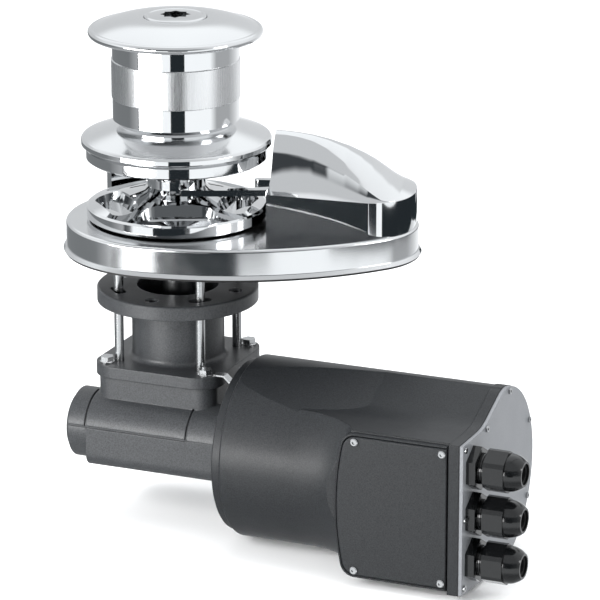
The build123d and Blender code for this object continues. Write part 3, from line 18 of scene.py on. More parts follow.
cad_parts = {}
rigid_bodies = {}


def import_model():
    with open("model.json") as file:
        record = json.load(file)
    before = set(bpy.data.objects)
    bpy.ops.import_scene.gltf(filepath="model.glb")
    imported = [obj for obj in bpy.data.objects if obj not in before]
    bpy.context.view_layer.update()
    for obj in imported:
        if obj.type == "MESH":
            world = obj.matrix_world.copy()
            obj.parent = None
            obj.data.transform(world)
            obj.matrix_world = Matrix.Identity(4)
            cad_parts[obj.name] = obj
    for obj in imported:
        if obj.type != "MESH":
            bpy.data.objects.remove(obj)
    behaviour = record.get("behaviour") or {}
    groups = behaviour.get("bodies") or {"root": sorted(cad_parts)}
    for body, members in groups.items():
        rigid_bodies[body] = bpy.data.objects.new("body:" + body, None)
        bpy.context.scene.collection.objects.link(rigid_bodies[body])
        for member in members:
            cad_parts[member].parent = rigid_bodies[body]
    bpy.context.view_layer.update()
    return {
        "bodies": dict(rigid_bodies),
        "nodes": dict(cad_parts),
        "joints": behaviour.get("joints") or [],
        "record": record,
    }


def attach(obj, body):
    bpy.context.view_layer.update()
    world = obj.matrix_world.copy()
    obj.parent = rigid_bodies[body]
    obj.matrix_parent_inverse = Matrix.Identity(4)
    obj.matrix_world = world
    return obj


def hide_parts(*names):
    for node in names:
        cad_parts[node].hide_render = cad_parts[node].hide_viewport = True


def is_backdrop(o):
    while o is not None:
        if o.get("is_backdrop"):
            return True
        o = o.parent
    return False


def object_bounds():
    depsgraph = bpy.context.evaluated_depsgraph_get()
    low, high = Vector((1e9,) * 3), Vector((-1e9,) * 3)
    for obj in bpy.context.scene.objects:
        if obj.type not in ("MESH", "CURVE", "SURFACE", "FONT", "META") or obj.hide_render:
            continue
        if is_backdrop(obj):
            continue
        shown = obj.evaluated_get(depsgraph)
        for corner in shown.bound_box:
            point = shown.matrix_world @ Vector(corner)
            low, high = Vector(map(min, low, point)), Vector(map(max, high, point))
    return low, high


log = logging.getLogger("windlass")

MM = 0.001

# The loaded CAD frame, which main() fills.
FRAME: dict = {}


def linear(hex_colour: str) -> tuple[float, float, float, float]:
    """Turn an sRGB hex colour into linear values.

    Args:
        hex_colour: Six hex digits, with or without a leading hash sign.

    Returns:
        Red, green, blue and an alpha of one.
    """
    digits = hex_colour.lstrip("#")
    channels = [int(digits[i:i + 2], 16) / 255 for i in (0, 2, 4)]
    low = [c / 12.92 for c in channels]
    high = [((c + 0.055) / 1.055) ** 2.4 for c in channels]
    return tuple(lo if c <= 0.04045 else hi for c, lo, hi in zip(channels, low, high)) + (1.0,)


def per_mm(size_mm: float) -> float:
    """Texture scale at which one cell of a pattern measures a size in millimetres."""
    return 1.0 / (size_mm * MM)


def add_node(
    tree: bpy.types.NodeTree,
    kind: str,
    settings: dict | None = None,
    values: dict | None = None,
    links: dict | None = None,
) -> bpy.types.Node:
    """Add a node, set it up and link its inputs.

    Args:
        tree: The node tree that gets the node.
        kind: Blender's name of the node type.
        settings: Properties of the node by name.
        values: Values of input sockets by name or number.
        links: Output sockets to link, by the input's name or number.

    Returns:
        The new node.
    """
    node = tree.nodes.new(kind)
    for name, value in (settings or {}).items():
        setattr(node, name, value)
    for name, value in (values or {}).items():
        node.inputs[name].default_value = value
    for name, output in (links or {}).items():
        tree.links.new(output, node.inputs[name])
    return node


def ramp(
    tree: bpy.types.NodeTree,
    factor: bpy.types.NodeSocket,
    stops: list[tuple[float, str]],
) -> bpy.types.NodeSocket:
    """Colour ramp through hex colours.

    Args:
        tree: The node tree that gets the ramp.
        factor: Output that drives the ramp.
        stops: Positions from zero to one, each with a hex colour.

    Returns:
        The colour output.
    """
    node = add_node(tree, "ShaderNodeValToRGB", links={"Fac": factor})
    band = node.color_ramp
    while len(band.elements) < len(stops):
        band.elements.new(0.5)
    for element, (position, colour) in zip(band.elements, stops):
        element.position = position
        element.color = linear(colour)
    return node.outputs["Color"]


def spread(
    tree: bpy.types.NodeTree,
    factor: bpy.types.NodeSocket,
    low: float,
    high: float,
) -> bpy.types.NodeSocket:
    """Map a value from the range zero to one onto another range.

    Args:
        tree: The node tree that gets the node.
        factor: Output with values from zero to one.
        low: Result at zero.
        high: Result at one.

    Returns:
        The mapped output.
    """
    limits = {"To Min": low, "To Max": high}
    return add_node(tree, "ShaderNodeMapRange", values=limits, links={"Value": factor}).outputs["Result"]


def calculate(
    tree: bpy.types.NodeTree,
    operation: str,
    first: bpy.types.NodeSocket,
    second: bpy.types.NodeSocket | float,
) -> bpy.types.NodeSocket:
    """Calculate with an output and a second output or a constant.

    Args:
        tree: The node tree that gets the node.
        operation: Blender's name of the operation.
        first: Output with the first value.
        second: Output with the second value, or a constant.

    Returns:
        The result.
    """
    constant = isinstance(second, float)
    values = {1: second} if constant else {}
    links = {0: first} if constant else {0: first, 1: second}
    return add_node(tree, "ShaderNodeMath", {"operation": operation}, values, links).outputs[0]


def blend(
    tree: bpy.types.NodeTree,
    share: bpy.types.NodeSocket,
    first: bpy.types.NodeSocket,
    second: bpy.types.NodeSocket,
) -> bpy.types.NodeSocket:
    """Blend two values.

    Args:
        tree: The node tree that gets the node.
        share: Output with the share of the second value.
        first: Output with the first value.
        second: Output with the second value.

    Returns:
        The blended value.
    """
    links = {0: share, 2: first, 3: second}
    return add_node(tree, "ShaderNodeMix", {"data_type": "FLOAT"}, links=links).outputs[0]


def fade(
    tree: bpy.types.NodeTree,
    level: bpy.types.NodeSocket,
    edge: tuple[float, float],
    first: bpy.types.NodeSocket,
    second: bpy.types.NodeSocket,
) -> bpy.types.NodeSocket:
    """Fade from one colour to another while a value rises.

    Args:
        tree: The node tree that gets the nodes.
        level: The rising value.
        edge: Value up to which the first colour is whole, and value from which the second is.
        first: Output with the first colour.
        second: Output with the second colour.

    Returns:
        The faded colour.
    """
    step = add_node(
        tree,
        "ShaderNodeMapRange",
        {"interpolation_type": "SMOOTHSTEP"},
        {"From Min": edge[0], "From Max": edge[1]},
        {"Value": level},
    )
    links = {0: step.outputs["Result"], 6: first, 7: second}
    return add_node(tree, "ShaderNodeMix", {"data_type": "RGBA"}, links=links).outputs[2]


@dataclass
class Surface:
    """A material while it is set up.

    Attributes:
        tree: Its node tree.
        shader: Its Principled shader.
        place: Output with the object coordinates.
    """

    tree: bpy.types.NodeTree
    shader: bpy.types.Node
    place: bpy.types.NodeSocket

    def stretched(self, factors: tuple[float, float, float]) -> bpy.types.NodeSocket:
        """Object coordinates times a factor for each axis; a small one draws a pattern out."""
        times = {"operation": "MULTIPLY"}
        return add_node(self.tree, "ShaderNodeVectorMath", times, {1: factors}, {0: self.place}).outputs[0]

    def pattern(
        self,
        size_mm: float,
        detail: float,
        roughness: float = 0.5,
        place: bpy.types.NodeSocket | None = None,
    ) -> bpy.types.NodeSocket:
        """Cloudy pattern with values from zero to one.

        Args:
            size_mm: Size of a cloud.
            detail: How many finer layers lie over it.
            roughness: How strong the finer layers are.
            place: Other coordinates than the object's own.

        Returns:
            The value of the pattern.
        """
        values = {"Scale": per_mm(size_mm), "Detail": detail, "Roughness": roughness}
        links = {"Vector": place or self.place}
        return add_node(self.tree, "ShaderNodeTexNoise", values=values, links=links).outputs["Fac"]

    def roughen(self, pattern: bpy.types.NodeSocket, low: float, high: float) -> None:
        """Let the roughness follow a pattern between two limits."""
        self.tree.links.new(spread(self.tree, pattern, low, high), self.shader.inputs["Roughness"])

    def emboss(
        self,
        height: bpy.types.NodeSocket,
        strength: float,
        depth_mm: float,
        normal: bpy.types.NodeSocket | None = None,
    ) -> None:
        """Let a pattern stand out of the surface.

        Args:
            height: Output with the height, from zero to one.
            strength: Strength of the relief.
            depth_mm: Its depth.
            normal: Normal that the relief starts from, instead of the face's own.
        """
        values = {"Strength": strength, "Distance": depth_mm * MM}
        links = {"Height": height} | ({"Normal": normal} if normal else {})
        bump = add_node(self.tree, "ShaderNodeBump", values=values, links=links)
        self.tree.links.new(bump.outputs["Normal"], self.shader.inputs["Normal"])

    def set(self, constants: dict[str, float | tuple[float, ...]]) -> None:
        """Set inputs of the shader to constants."""
        for name, value in constants.items():
            self.shader.inputs[name].default_value = value


@dataclass(frozen=True)
class Finish:
    """Base of all finishes: a named material that is made once and shared.

    Attributes:
        name: Name of the material, after the real one.
        slot: Material slot of the record that pieces of this finish belong to; not used.
    """

    name: str
    slot: str

    def dress(self, surface: Surface) -> None:
        """Set up the shader of this finish.

        Args:
            surface: The material while it is set up.
        """
        raise NotImplementedError

    def material(self) -> bpy.types.Material:
        """Return the Blender material, made at the first call."""
        found = bpy.data.materials.get(self.name)
        if found:
            return found
        made = bpy.data.materials.new(self.name)
        made.use_nodes = True
        tree = made.node_tree
        tree.nodes.clear()
        place = add_node(tree, "ShaderNodeTexCoord").outputs["Object"]
        shader = add_node(tree, "ShaderNodeBsdfPrincipled")
        add_node(tree, "ShaderNodeOutputMaterial", links={"Surface": shader.outputs["BSDF"]})
        self.dress(Surface(tree, shader, place))
        return made


class Lustre(Enum):
    """How far a steel face was polished: its roughness where its pattern is zero, and where it is one."""

    MIRROR = (0.03, 0.08)
    FINE = (0.11, 0.19)
    SATIN = (0.2, 0.1)


@dataclass(frozen=True)
class PolishedStainless(Finish):
    """Stainless steel 316, mirror polished with a buffing wheel.

    It mirrors the studio sharply; the buffing leaves a faint cloudiness about a centimetre wide
    and a hair-fine ripple that only shows where a lamp is mirrored.

    Attributes:
        tint: Colour of the bare metal.
        lustre: How far the faces were polished.
        cloud_mm: Width of a cloud.
        ripple_mm: Width of the ripple.
        ripple_depth_mm: Its depth.
        ripple_strength: How much of it shows.
    """

    tint: str = "#D9DADB"
    lustre: Lustre = Lustre.MIRROR
    cloud_mm: float = 14.0
    ripple_mm: float = 0.8
    ripple_depth_mm: float = 0.02
    ripple_strength: float = 0.012

    def dress(self, surface: Surface) -> None:
        """Set up the mirror polish."""
        surface.roughen(surface.pattern(self.cloud_mm, 3.0), *self.lustre.value)
        surface.emboss(surface.pattern(self.ripple_mm, 2.0), self.ripple_strength, self.ripple_depth_mm)
        surface.set({"Base Color": linear(self.tint), "Metallic": 1.0})


@dataclass(frozen=True)
class TurnedStainless(PolishedStainless):
    """The drum: polished stainless with a ground zone around the barrel and satin upper faces.

    The zone between the two polished bands is ground along the axis, so that rope grips it: thin
    upright lines under a millimetre wide spread each highlight sideways.

    Attributes:
        zone: Lower and upper edge of the ground zone, in metres up the shaft.
        disc: Where the satin face of the lower disc starts, and where it ends at the neck.
        cap: Where the satin face of the cap starts, and a height over all of it.
        ground: Lowest and highest roughness of the ground zone.
        line_mm: Width of a ground line.
        line_depth_mm: Its depth.
        line_strength: How much of it shows.
        draw: How much slower the lines change up the shaft than across.
    """

    zone: tuple[float, float] = (0.1277, 0.1598)
    disc: tuple[float, float] = (0.0952, 0.1040)
    cap: tuple[float, float] = (0.1832, 1.0)
    ground: tuple[float, float] = (0.16, 0.40)
    line_mm: float = 0.9
    line_depth_mm: float = 0.12
    line_strength: float = 0.35
    draw: float = 0.02

    def dress(self, surface: Surface) -> None:
        """Set up the polish, the satin faces and the ground lines."""
        super().dress(surface)
        tree = surface.tree
        height = add_node(tree, "ShaderNodeSeparateXYZ", links={"Vector": surface.place}).outputs["Z"]
        zone, disc, cap = (self.between(tree, height, edges) for edges in (self.zone, self.disc, self.cap))
        tops = calculate(tree, "ADD", disc, cap)
        lines = surface.pattern(self.line_mm, 4.0, 0.6, surface.stretched((1.0, 1.0, self.draw)))
        polish = surface.shader.inputs["Roughness"].links[0].from_socket
        satin = spread(tree, lines, *Lustre.SATIN.value)
        ground = spread(tree, lines, *self.ground)
        rough = blend(tree, zone, blend(tree, tops, polish, satin), ground)
        tree.links.new(rough, surface.shader.inputs["Roughness"])
        surface.emboss(calculate(tree, "MULTIPLY", zone, lines), self.line_strength, self.line_depth_mm)

    @staticmethod
    def between(
        tree: bpy.types.NodeTree, height: bpy.types.NodeSocket, edges: tuple[float, float]
    ) -> bpy.types.NodeSocket:
        """Tell whether a height lies between two others.

        Args:
            tree: The node tree that gets the nodes.
            height: Output with the height.
            edges: Lower and upper limit.

        Returns:
            Output that is one between the limits and zero elsewhere.
        """
        over = calculate(tree, "GREATER_THAN", height, edges[0])
        under = calculate(tree, "LESS_THAN", height, edges[1])
        return calculate(tree, "MULTIPLY", over, under)


@dataclass(frozen=True)
class MachinedStainless(Finish):
    """Stainless bar stock as it comes off the lathe, for studs, bolts and screws.

    Fine turning marks blur the highlight a little.

    Attributes:
        tint: Colour of the bare metal.
        roughness: Lowest and highest roughness of the turned surface.
        mark_mm: Width of a turning mark.
        mark_depth_mm: Its depth.
        draw: How much slower the marks change round the piece than along it.
    """

    tint: str = "#B9BABB"
    roughness: tuple[float, float] = (0.14, 0.30)
    mark_mm: float = 0.5
    mark_depth_mm: float = 0.05
    draw: float = 0.05

    def dress(self, surface: Surface) -> None:
        """Set up turning marks that run round the piece."""
        round_piece = surface.stretched((self.draw, self.draw, 1.0))
        marks = surface.pattern(self.mark_mm, 3.0, place=round_piece)
        surface.roughen(marks, *self.roughness)
        surface.emboss(marks, 0.25, self.mark_depth_mm)
        surface.set({"Base Color": linear(self.tint), "Metallic": 1.0})


@dataclass(frozen=True)
class CoatedCasting(Finish):
    """Aluminium casting with a charcoal powder coating.

    The cured powder leaves a grain a little under a millimetre wide, over slow waves of the casting
    under it. Its colour follows the grain's height: a painted glint on the crests and painted shade
    in the hollows, over the coating's own speckled tone.

    Attributes:
        dark: Colour in the hollows of the grain: the coating's tone with painted shade.
        light: Colour on its crests: the coating's tone with a painted glint.
        roughness: Lowest and highest roughness of the coating.
        grain_mm: Width of a grain.
        grain_depth_mm: Height of a grain.
        wave_mm: Width of the casting's waves.
        edge_mm: Radius to which casting and blasting rounded the edges.
        specular: Strength of the plain reflection of the coating.
    """

    dark: str = "#141517"
    light: str = "#282A2C"
    roughness: tuple[float, float] = (0.33, 0.46)
    grain_mm: float = 0.9
    grain_depth_mm: float = 0.08
    wave_mm: float = 22.0
    edge_mm: float = 1.4
    specular: float = 0.5

    def dress(self, surface: Surface) -> None:
        """Set up the grain with painted glints and shade, and the rounded edges."""
        grain = surface.pattern(self.grain_mm, 3.0, 0.65)
        # The grain's crests get a lighter colour, a painted glint, and its hollows a darker one, painted
        # shade, over the coating's speckled tone.
        colour = ramp(surface.tree, grain, [(0.34, self.dark), (0.66, self.light)])
        surface.tree.links.new(colour, surface.shader.inputs["Base Color"])
        surface.roughen(surface.pattern(self.wave_mm, 2.0), *self.roughness)
        worn = add_node(surface.tree, "ShaderNodeBevel", {"samples": 6}, {"Radius": self.edge_mm * MM})
        surface.emboss(grain, 0.5, self.grain_depth_mm, worn.outputs[0])
        surface.set({"Specular IOR Level": self.specular, "Metallic": 0.0, "IOR": 1.5})


@dataclass(frozen=True)
class SatinPlate(CoatedCasting):
    """Aluminium plate with a satin grey anodised skin, with a much finer grain than the castings."""


@dataclass(frozen=True)
class NitrileRubber(Finish):
    """Moulded nitrile rubber: nearly black, dull, with a soft sheen at its edges.

    Attributes:
        tint: Its colour.
        roughness: Lowest and highest roughness of the moulded skin.
        skin_mm: Width of the skin's pattern.
        skin_depth_mm: Its depth.
    """

    tint: str = "#0D0D0E"
    roughness: tuple[float, float] = (0.47, 0.63)
    skin_mm: float = 1.5
    skin_depth_mm: float = 0.05

    def dress(self, surface: Surface) -> None:
        """Set up the dull moulded skin."""
        skin = surface.pattern(self.skin_mm, 2.0)
        surface.roughen(skin, *self.roughness)
        surface.emboss(skin, 0.2, self.skin_depth_mm)
        surface.set({"Base Color": linear(self.tint), "IOR": 1.5})


@dataclass(frozen=True)
class GlossPolyamide(Finish):
    """Injection moulded black polyamide: glossy, with slow flow waves from the mould.

    Attributes:
        tint: Its colour.
        roughness: Lowest and highest roughness of the gloss.
        flow_mm: Width of a flow wave.
        flow_depth_mm: Its depth.
    """

    tint: str = "#0C0D0E"
    roughness: tuple[float, float] = (0.07, 0.20)
    flow_mm: float = 4.0
    flow_depth_mm: float = 0.1

    def dress(self, surface: Surface) -> None:
        """Set up the moulded gloss."""
        flow = surface.pattern(self.flow_mm, 2.0)
        surface.roughen(flow, *self.roughness)
        surface.emboss(flow, 0.1, self.flow_depth_mm)
        surface.set({"Base Color": linear(self.tint), "IOR": 1.53, "Specular IOR Level": 0.38})
        surface.set({"Coat Weight": 0.3, "Coat Roughness": 0.04})


@dataclass(frozen=True)
class BareMetal(Finish):
    """Bare cut metal inside the machine, such as bronze, copper or core steel, with fine tool marks.

    Attributes:
        tint: Colour of the metal.
        roughness: Lowest and highest roughness of the cut surface.
        mark_mm: Width of a tool mark.
    """

    tint: str = "#8A8A8A"
    roughness: tuple[float, float] = (0.25, 0.45)
    mark_mm: float = 0.7

    def dress(self, surface: Surface) -> None:
        """Set up the cut surface."""
        surface.roughen(surface.pattern(self.mark_mm, 3.0), *self.roughness)
        surface.set({"Base Color": linear(self.tint), "Metallic": 1.0})


MIRROR = PolishedStainless("mirror polished stainless steel", "polished_steel")
FINE = PolishedStainless("fine polished stainless steel", "polished_steel", lustre=Lustre.FINE)
DRUM = TurnedStainless("turned and polished stainless steel", "polished_steel")
FASTENER = MachinedStainless("machined stainless steel", "stainless_steel")
# The dark and light colours of the castings and the plate paint shade into the grain's hollows and a glint
# onto its crests.
CASTING = CoatedCasting("powder coated aluminium casting", "grey_casting", specular=0.32)
GEAR_CASTING = CoatedCasting(
    "shot blasted and coated aluminium casting",
    "grey_casting",
    dark="#222325",
    light="#3A3C3E",
    grain_mm=1.1,
)
PLATE = SatinPlate(
    "satin anodised aluminium plate",
    "grey_plate",
    dark="#6C6E71",
    light="#7C7E82",
    roughness=(0.29, 0.42),
    grain_mm=0.5,
    grain_depth_mm=0.02,
    edge_mm=0.6,
)
RUBBER = NitrileRubber("moulded nitrile rubber", "black_rubber")
POLYAMIDE = GlossPolyamide("moulded black polyamide", "black_plastic")
BRONZE = BareMetal("cast tin bronze", "bronze", tint="#B08A4A")
COPPER = BareMetal("drawn copper", "copper", tint="#C98862")
CORE = BareMetal("laminated core steel", "core_steel", tint="#5A5B5D", roughness=(0.4, 0.6))
BLOCK = NitrileRubber("moulded melamine", "block_plastic", tint="#CFCBC0", roughness=(0.32, 0.48))


def wear(finish: Finish, nodes: tuple[str, ...]) -> None:
    """Give CAD nodes a finish.

    Args:
        finish: The finish to wear.
        nodes: Names of the CAD nodes.
    """
    for name in nodes:
        mesh = FRAME["nodes"][name].data
        mesh.materials.clear()
        mesh.materials.append(finish.material())
        log.info("%s wears %s", name, finish.name)


class Tone(Enum):
    """Plain things that stand around the table of a studio, by how light they are."""

    SOFT_BOX = "#F6F9FB"
    PAPER = "#E4E6E8"
    PALE = "#C0C2C4"
    GREY = "#A2A4A6"
    TABLE = "#9C9EA0"
    DIM = "#727577"
    FLAG = "#3A3D40"
    CARD = "#2A3034"


@dataclass(frozen=True)
class Lamp:
    """A rectangular soft box.

    Attributes:
        name: Name of the lamp.
        place: Where it hangs, in metres.
        width: Width of its face.
        height: Height of its face.
        watts: Power of the lamp.
        mirrored: Whether polish shows the lamp itself.
    """

    name: str
    place: tuple[float, float, float]
    width: float
    height: float
    watts: float
    mirrored: bool


@dataclass(frozen=True)
class Card:
    """A dark card that stands upright, facing the shaft, and shows only in polish.

    Attributes:
        name: Name of the card.
        azimuth_deg: Where it stands, from the camera's side towards the right.
        distance: Distance from the middle, in metres.
        width: Its width.
        bottom: Height of its lower edge.
        top: Height of its upper edge.
        middle: What it faces, as a place to the right of the shaft.
    """

    name: str
    azimuth_deg: float
    distance: float
    width: float
    bottom: float
    top: float
    middle: float = 0.0


@dataclass
class Studio:
    """Pale floor, soft boxes, the room that the polish mirrors, and the camera.

    Places and sizes are in metres. The edges between the parts of the room are pairs of heights on
    a ball with a radius of one: the lower part is whole up to the first, the upper from the second.

    Attributes:
        pitch_deg: How far the camera looks down.
        distance: Distance from the camera to the point it looks at.
        target: The point it looks at.
        lens_mm: Focal length.
        sensor_mm: Width of the sensor.
        far_end: Distance up to which the camera sees.
        floor_tone: Colour of the floor.
        floor_radius: Radius of the floor.
        floor_roughness: Roughness of its paper.
        lamps: The soft boxes.
        around: What stands around the windlass just under eye level. Each row is an azimuth in
            degrees, from the camera's side towards the right, and the tone there.
        above: The same for the band over eye level.
        overhead: The same for the ceiling.
        table_edge: Edge between the table and what stands around it.
        eye_edge: Edge between the band around and the one above.
        ceiling_edge: Edge between the band above and the ceiling.
        room_strength: Brightness of the room.
        cards: Dark cards that give the polish its depth.
    """

    pitch_deg: float = 17.37
    distance: float = 3.28
    target: tuple[float, float, float] = (0.100, 0.0, -0.0454)
    lens_mm: float = 240.0
    sensor_mm: float = 36.0
    far_end: float = 50.0
    floor_tone: str = "#FFFFFF"
    floor_radius: float = 14.0
    floor_roughness: float = 0.9
    lamps: tuple[Lamp, ...] = (
        Lamp("low key soft box", (-0.80, -0.80, -0.03), 0.90, 0.38, 12.0, True),
        Lamp("key fill", (-0.80, -0.80, 0.45), 0.6, 0.6, 12.0, False),
        Lamp("left soft box", (-1.5, -1.9, 1.3), 1.2, 1.2, 14.0, False),
        Lamp("right soft box", (1.9, -1.0, 0.55), 0.7, 0.9, 12.0, True),
        Lamp("overhead soft box", (0.1, 0.5, 2.2), 2.0, 2.0, 40.0, False),
    )
    around: tuple[tuple[float, Tone], ...] = (
        (-180.0, Tone.PAPER),
        (-166.0, Tone.GREY),
        (-156.0, Tone.DIM),
        (-92.0, Tone.DIM),
        (-72.0, Tone.GREY),
        (-68.0, Tone.FLAG),
        (-61.0, Tone.DIM),
        (-56.0, Tone.SOFT_BOX),
        (66.0, Tone.SOFT_BOX),
        (80.0, Tone.GREY),
        (112.0, Tone.GREY),
        (150.0, Tone.PAPER),
        (180.0, Tone.PAPER),
    )
    above: tuple[tuple[float, Tone], ...] = (
        (-180.0, Tone.PALE),
        (-130.0, Tone.PALE),
        (-75.0, Tone.SOFT_BOX),
        (-56.0, Tone.SOFT_BOX),
        (-46.0, Tone.FLAG),
        (-10.0, Tone.FLAG),
        (26.0, Tone.DIM),
        (60.0, Tone.PAPER),
        (110.0, Tone.PAPER),
        (180.0, Tone.PALE),
    )
    overhead: tuple[tuple[float, Tone], ...] = (
        (-180.0, Tone.SOFT_BOX),
        (-110.0, Tone.PAPER),
        (-70.0, Tone.PALE),
        (30.0, Tone.PALE),
        (75.0, Tone.PAPER),
        (180.0, Tone.SOFT_BOX),
    )
    table_edge: tuple[float, float] = (-0.75, -0.45)
    eye_edge: tuple[float, float] = (-0.16, 0.02)
    ceiling_edge: tuple[float, float] = (0.36, 0.52)
    room_strength: float = 1.4
    cards: tuple[Card, ...] = (
        Card("front card", 4.5, 1.0, 0.44, -0.25, 0.06),
        Card("low card", -8.0, 0.31, 0.20, -0.085, -0.012),
        Card("tail card, front", 50.0, 0.25, 0.24, -0.040, -0.003, 0.139),
        Card("tail card, right", 98.0, 0.25, 0.24, -0.040, -0.003, 0.139),
        Card("tail card, back", 146.0, 0.25, 0.24, -0.040, -0.003, 0.139),
    )

    def build(self) -> None:
        """Set up camera, floor, lamps, cards and room."""
        self.camera()
        self.floor()
        self.light()
        self.flags()
        self.world()

    def camera(self) -> None:
        """Place the camera at the angle of the photograph."""
        lens = bpy.data.cameras.new("camera")
        lens.sensor_width = self.sensor_mm
        lens.lens = self.lens_mm
        lens.clip_end = self.far_end
        eye = bpy.data.objects.new("camera", lens)
        bpy.context.scene.collection.objects.link(eye)
        pitch = math.radians(self.pitch_deg)
        aim = Vector((0.0, math.cos(pitch), -math.sin(pitch)))
        eye.location = Vector(self.target) - aim * self.distance
        eye.rotation_euler = (math.radians(90) - pitch, 0.0, 0.0)
        bpy.context.scene.camera = eye

    def floor(self) -> None:
        """Lay a wide matt floor under the lowest point of the windlass."""
        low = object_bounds()[0][2]
        shape = bmesh.new()
        bmesh.ops.create_circle(shape, cap_ends=True, segments=64, radius=self.floor_radius)
        bmesh.ops.translate(shape, vec=(0.0, 0.0, low), verts=shape.verts)
        paper = bpy.data.materials.new("matt white paper")
        paper.use_nodes = True
        shader = paper.node_tree.nodes["Principled BSDF"]
        shader.inputs["Base Color"].default_value = linear(self.floor_tone)
        shader.inputs["Roughness"].default_value = self.floor_roughness
        ground = self.staged("floor", shape, paper)
        ground.visible_glossy = False

    def light(self) -> None:
        """Hang the soft boxes, each aimed at the windlass."""
        for lamp in self.lamps:
            light = bpy.data.lights.new(lamp.name, "AREA")
            light.shape = "RECTANGLE"
            light.size = lamp.width
            light.size_y = lamp.height
            light.energy = lamp.watts
            box = bpy.data.objects.new(lamp.name, light)
            box.visible_glossy = lamp.mirrored
            box.location = lamp.place
            aim = Vector(self.target) - Vector(lamp.place)
            box.rotation_euler = aim.to_track_quat("-Z", "Y").to_euler()
            bpy.context.scene.collection.objects.link(box)

    def flags(self) -> None:
        """Stand the dark cards, which only glossy rays see."""
        card_board = bpy.data.materials.new("dark card board")
        card_board.use_nodes = True
        tree = card_board.node_tree
        tree.nodes.clear()
        glow = add_node(tree, "ShaderNodeEmission", values={"Color": linear(Tone.CARD.value)})
        add_node(tree, "ShaderNodeOutputMaterial", links={"Surface": glow.outputs[0]})
        upright = Matrix.Rotation(math.radians(90), 3, "X")
        for card in self.cards:
            centre = (0.0, -card.distance, (card.top + card.bottom) / 2)
            turn = Matrix.Rotation(math.radians(card.azimuth_deg), 3, "Z")
            shape = bmesh.new()
            bmesh.ops.create_grid(shape, x_segments=1, y_segments=1, size=0.5)
            bmesh.ops.scale(shape, vec=(card.width, card.top - card.bottom, 1.0), verts=shape.verts)
            bmesh.ops.rotate(shape, matrix=upright, verts=shape.verts)
            bmesh.ops.translate(shape, vec=centre, verts=shape.verts)
            bmesh.ops.rotate(shape, matrix=turn, verts=shape.verts)
            bmesh.ops.translate(shape, vec=(card.middle, 0.0, 0.0), verts=shape.verts)
            board = self.staged(card.name, shape, card_board)
            board.visible_camera = False
            board.visible_diffuse = False
            board.visible_shadow = False

    @staticmethod
    def staged(name: str, shape: bmesh.types.BMesh, material: bpy.types.Material) -> bpy.types.Object:
        """Turn a bmesh into a thing of the studio, which isn't part of the windlass.

        Args:
            name: Name of the thing.
            shape: The bmesh, which is freed.
            material: What it is made of.

        Returns:
            The thing, linked to the scene.
        """
        mesh = bpy.data.meshes.new(name)
        shape.to_mesh(mesh)
        shape.free()
        mesh.materials.append(material)
        thing = bpy.data.objects.new(name, mesh)
        bpy.context.scene.collection.objects.link(thing)
        thing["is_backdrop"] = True
        return thing

    def world(self) -> None:
        """Room around the windlass: soft boxes and dark flags, as the polish mirrors them."""
        room = bpy.data.worlds.new("studio room")
        room.use_nodes = True
        bpy.context.scene.world = room
        tree = room.node_tree
        tree.nodes.clear()
        direction = add_node(tree, "ShaderNodeTexCoord").outputs["Generated"]
        parts = add_node(tree, "ShaderNodeSeparateXYZ", links={"Vector": direction})
        towards = calculate(tree, "MULTIPLY", parts.outputs["Y"], -1.0)
        azimuth = calculate(tree, "ARCTAN2", parts.outputs["X"], towards)
        turn = add_node(
            tree,
            "ShaderNodeMapRange",
            values={"From Min": -math.pi, "From Max": math.pi},
            links={"Value": azimuth},
        ).outputs["Result"]
        low, high, ceiling = (
            ramp(tree, turn, [((angle + 180) / 360, tone.value) for angle, tone in band])
            for band in (self.around, self.above, self.overhead)
        )
        table = add_node(tree, "ShaderNodeRGB").outputs[0]
        table.default_value = linear(Tone.TABLE.value)
        level = parts.outputs["Z"]
        walls = fade(tree, level, self.eye_edge, low, high)
        upper = fade(tree, level, self.ceiling_edge, walls, ceiling)
        whole = fade(tree, level, self.table_edge, table, upper)
        strength = {"Strength": self.room_strength}
        glow = add_node(tree, "ShaderNodeBackground", values=strength, links={"Color": whole})
        add_node(tree, "ShaderNodeOutputWorld", links={"Surface": glow.outputs["Background"]})


def finished(
    name: str,
    shape: bmesh.types.BMesh,
    finish: Finish,
    body: str,
    sharp_deg: float = 32.0,
) -> bpy.types.Object:
    """Turn a bmesh in metres into a piece that rides on a body.

    Args:
        name: Name of the piece.
        shape: The bmesh, which is freed.
        finish: The finish that it wears.
        body: Body that carries it.
        sharp_deg: Angle between faces from which their edge stays sharp.

    Returns:
        The piece, at the origin and unturned.
    """
    mesh = bpy.data.meshes.new(name)
    shape.to_mesh(mesh)
    shape.free()
    mesh.shade_smooth()
    mesh.set_sharp_from_angle(angle=math.radians(sharp_deg))
    mesh.materials.append(finish.material())
    piece = bpy.data.objects.new(name, mesh)
    bpy.context.scene.collection.objects.link(piece)
    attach(piece, body)
    log.info("%s made in %s", name, finish.name)
    return piece


@dataclass(frozen=True)
class Station:
    """Cross-section of the hood at a place along the base, in millimetres.

    Attributes:
        place: Distance from the shaft.
        crown: Height at the middle.
        cove: Depth of the cove, from the wall inwards.
        edge: Height of the cove's upper edge.
    """

    place: float
    crown: float
    cove: float
    edge: float


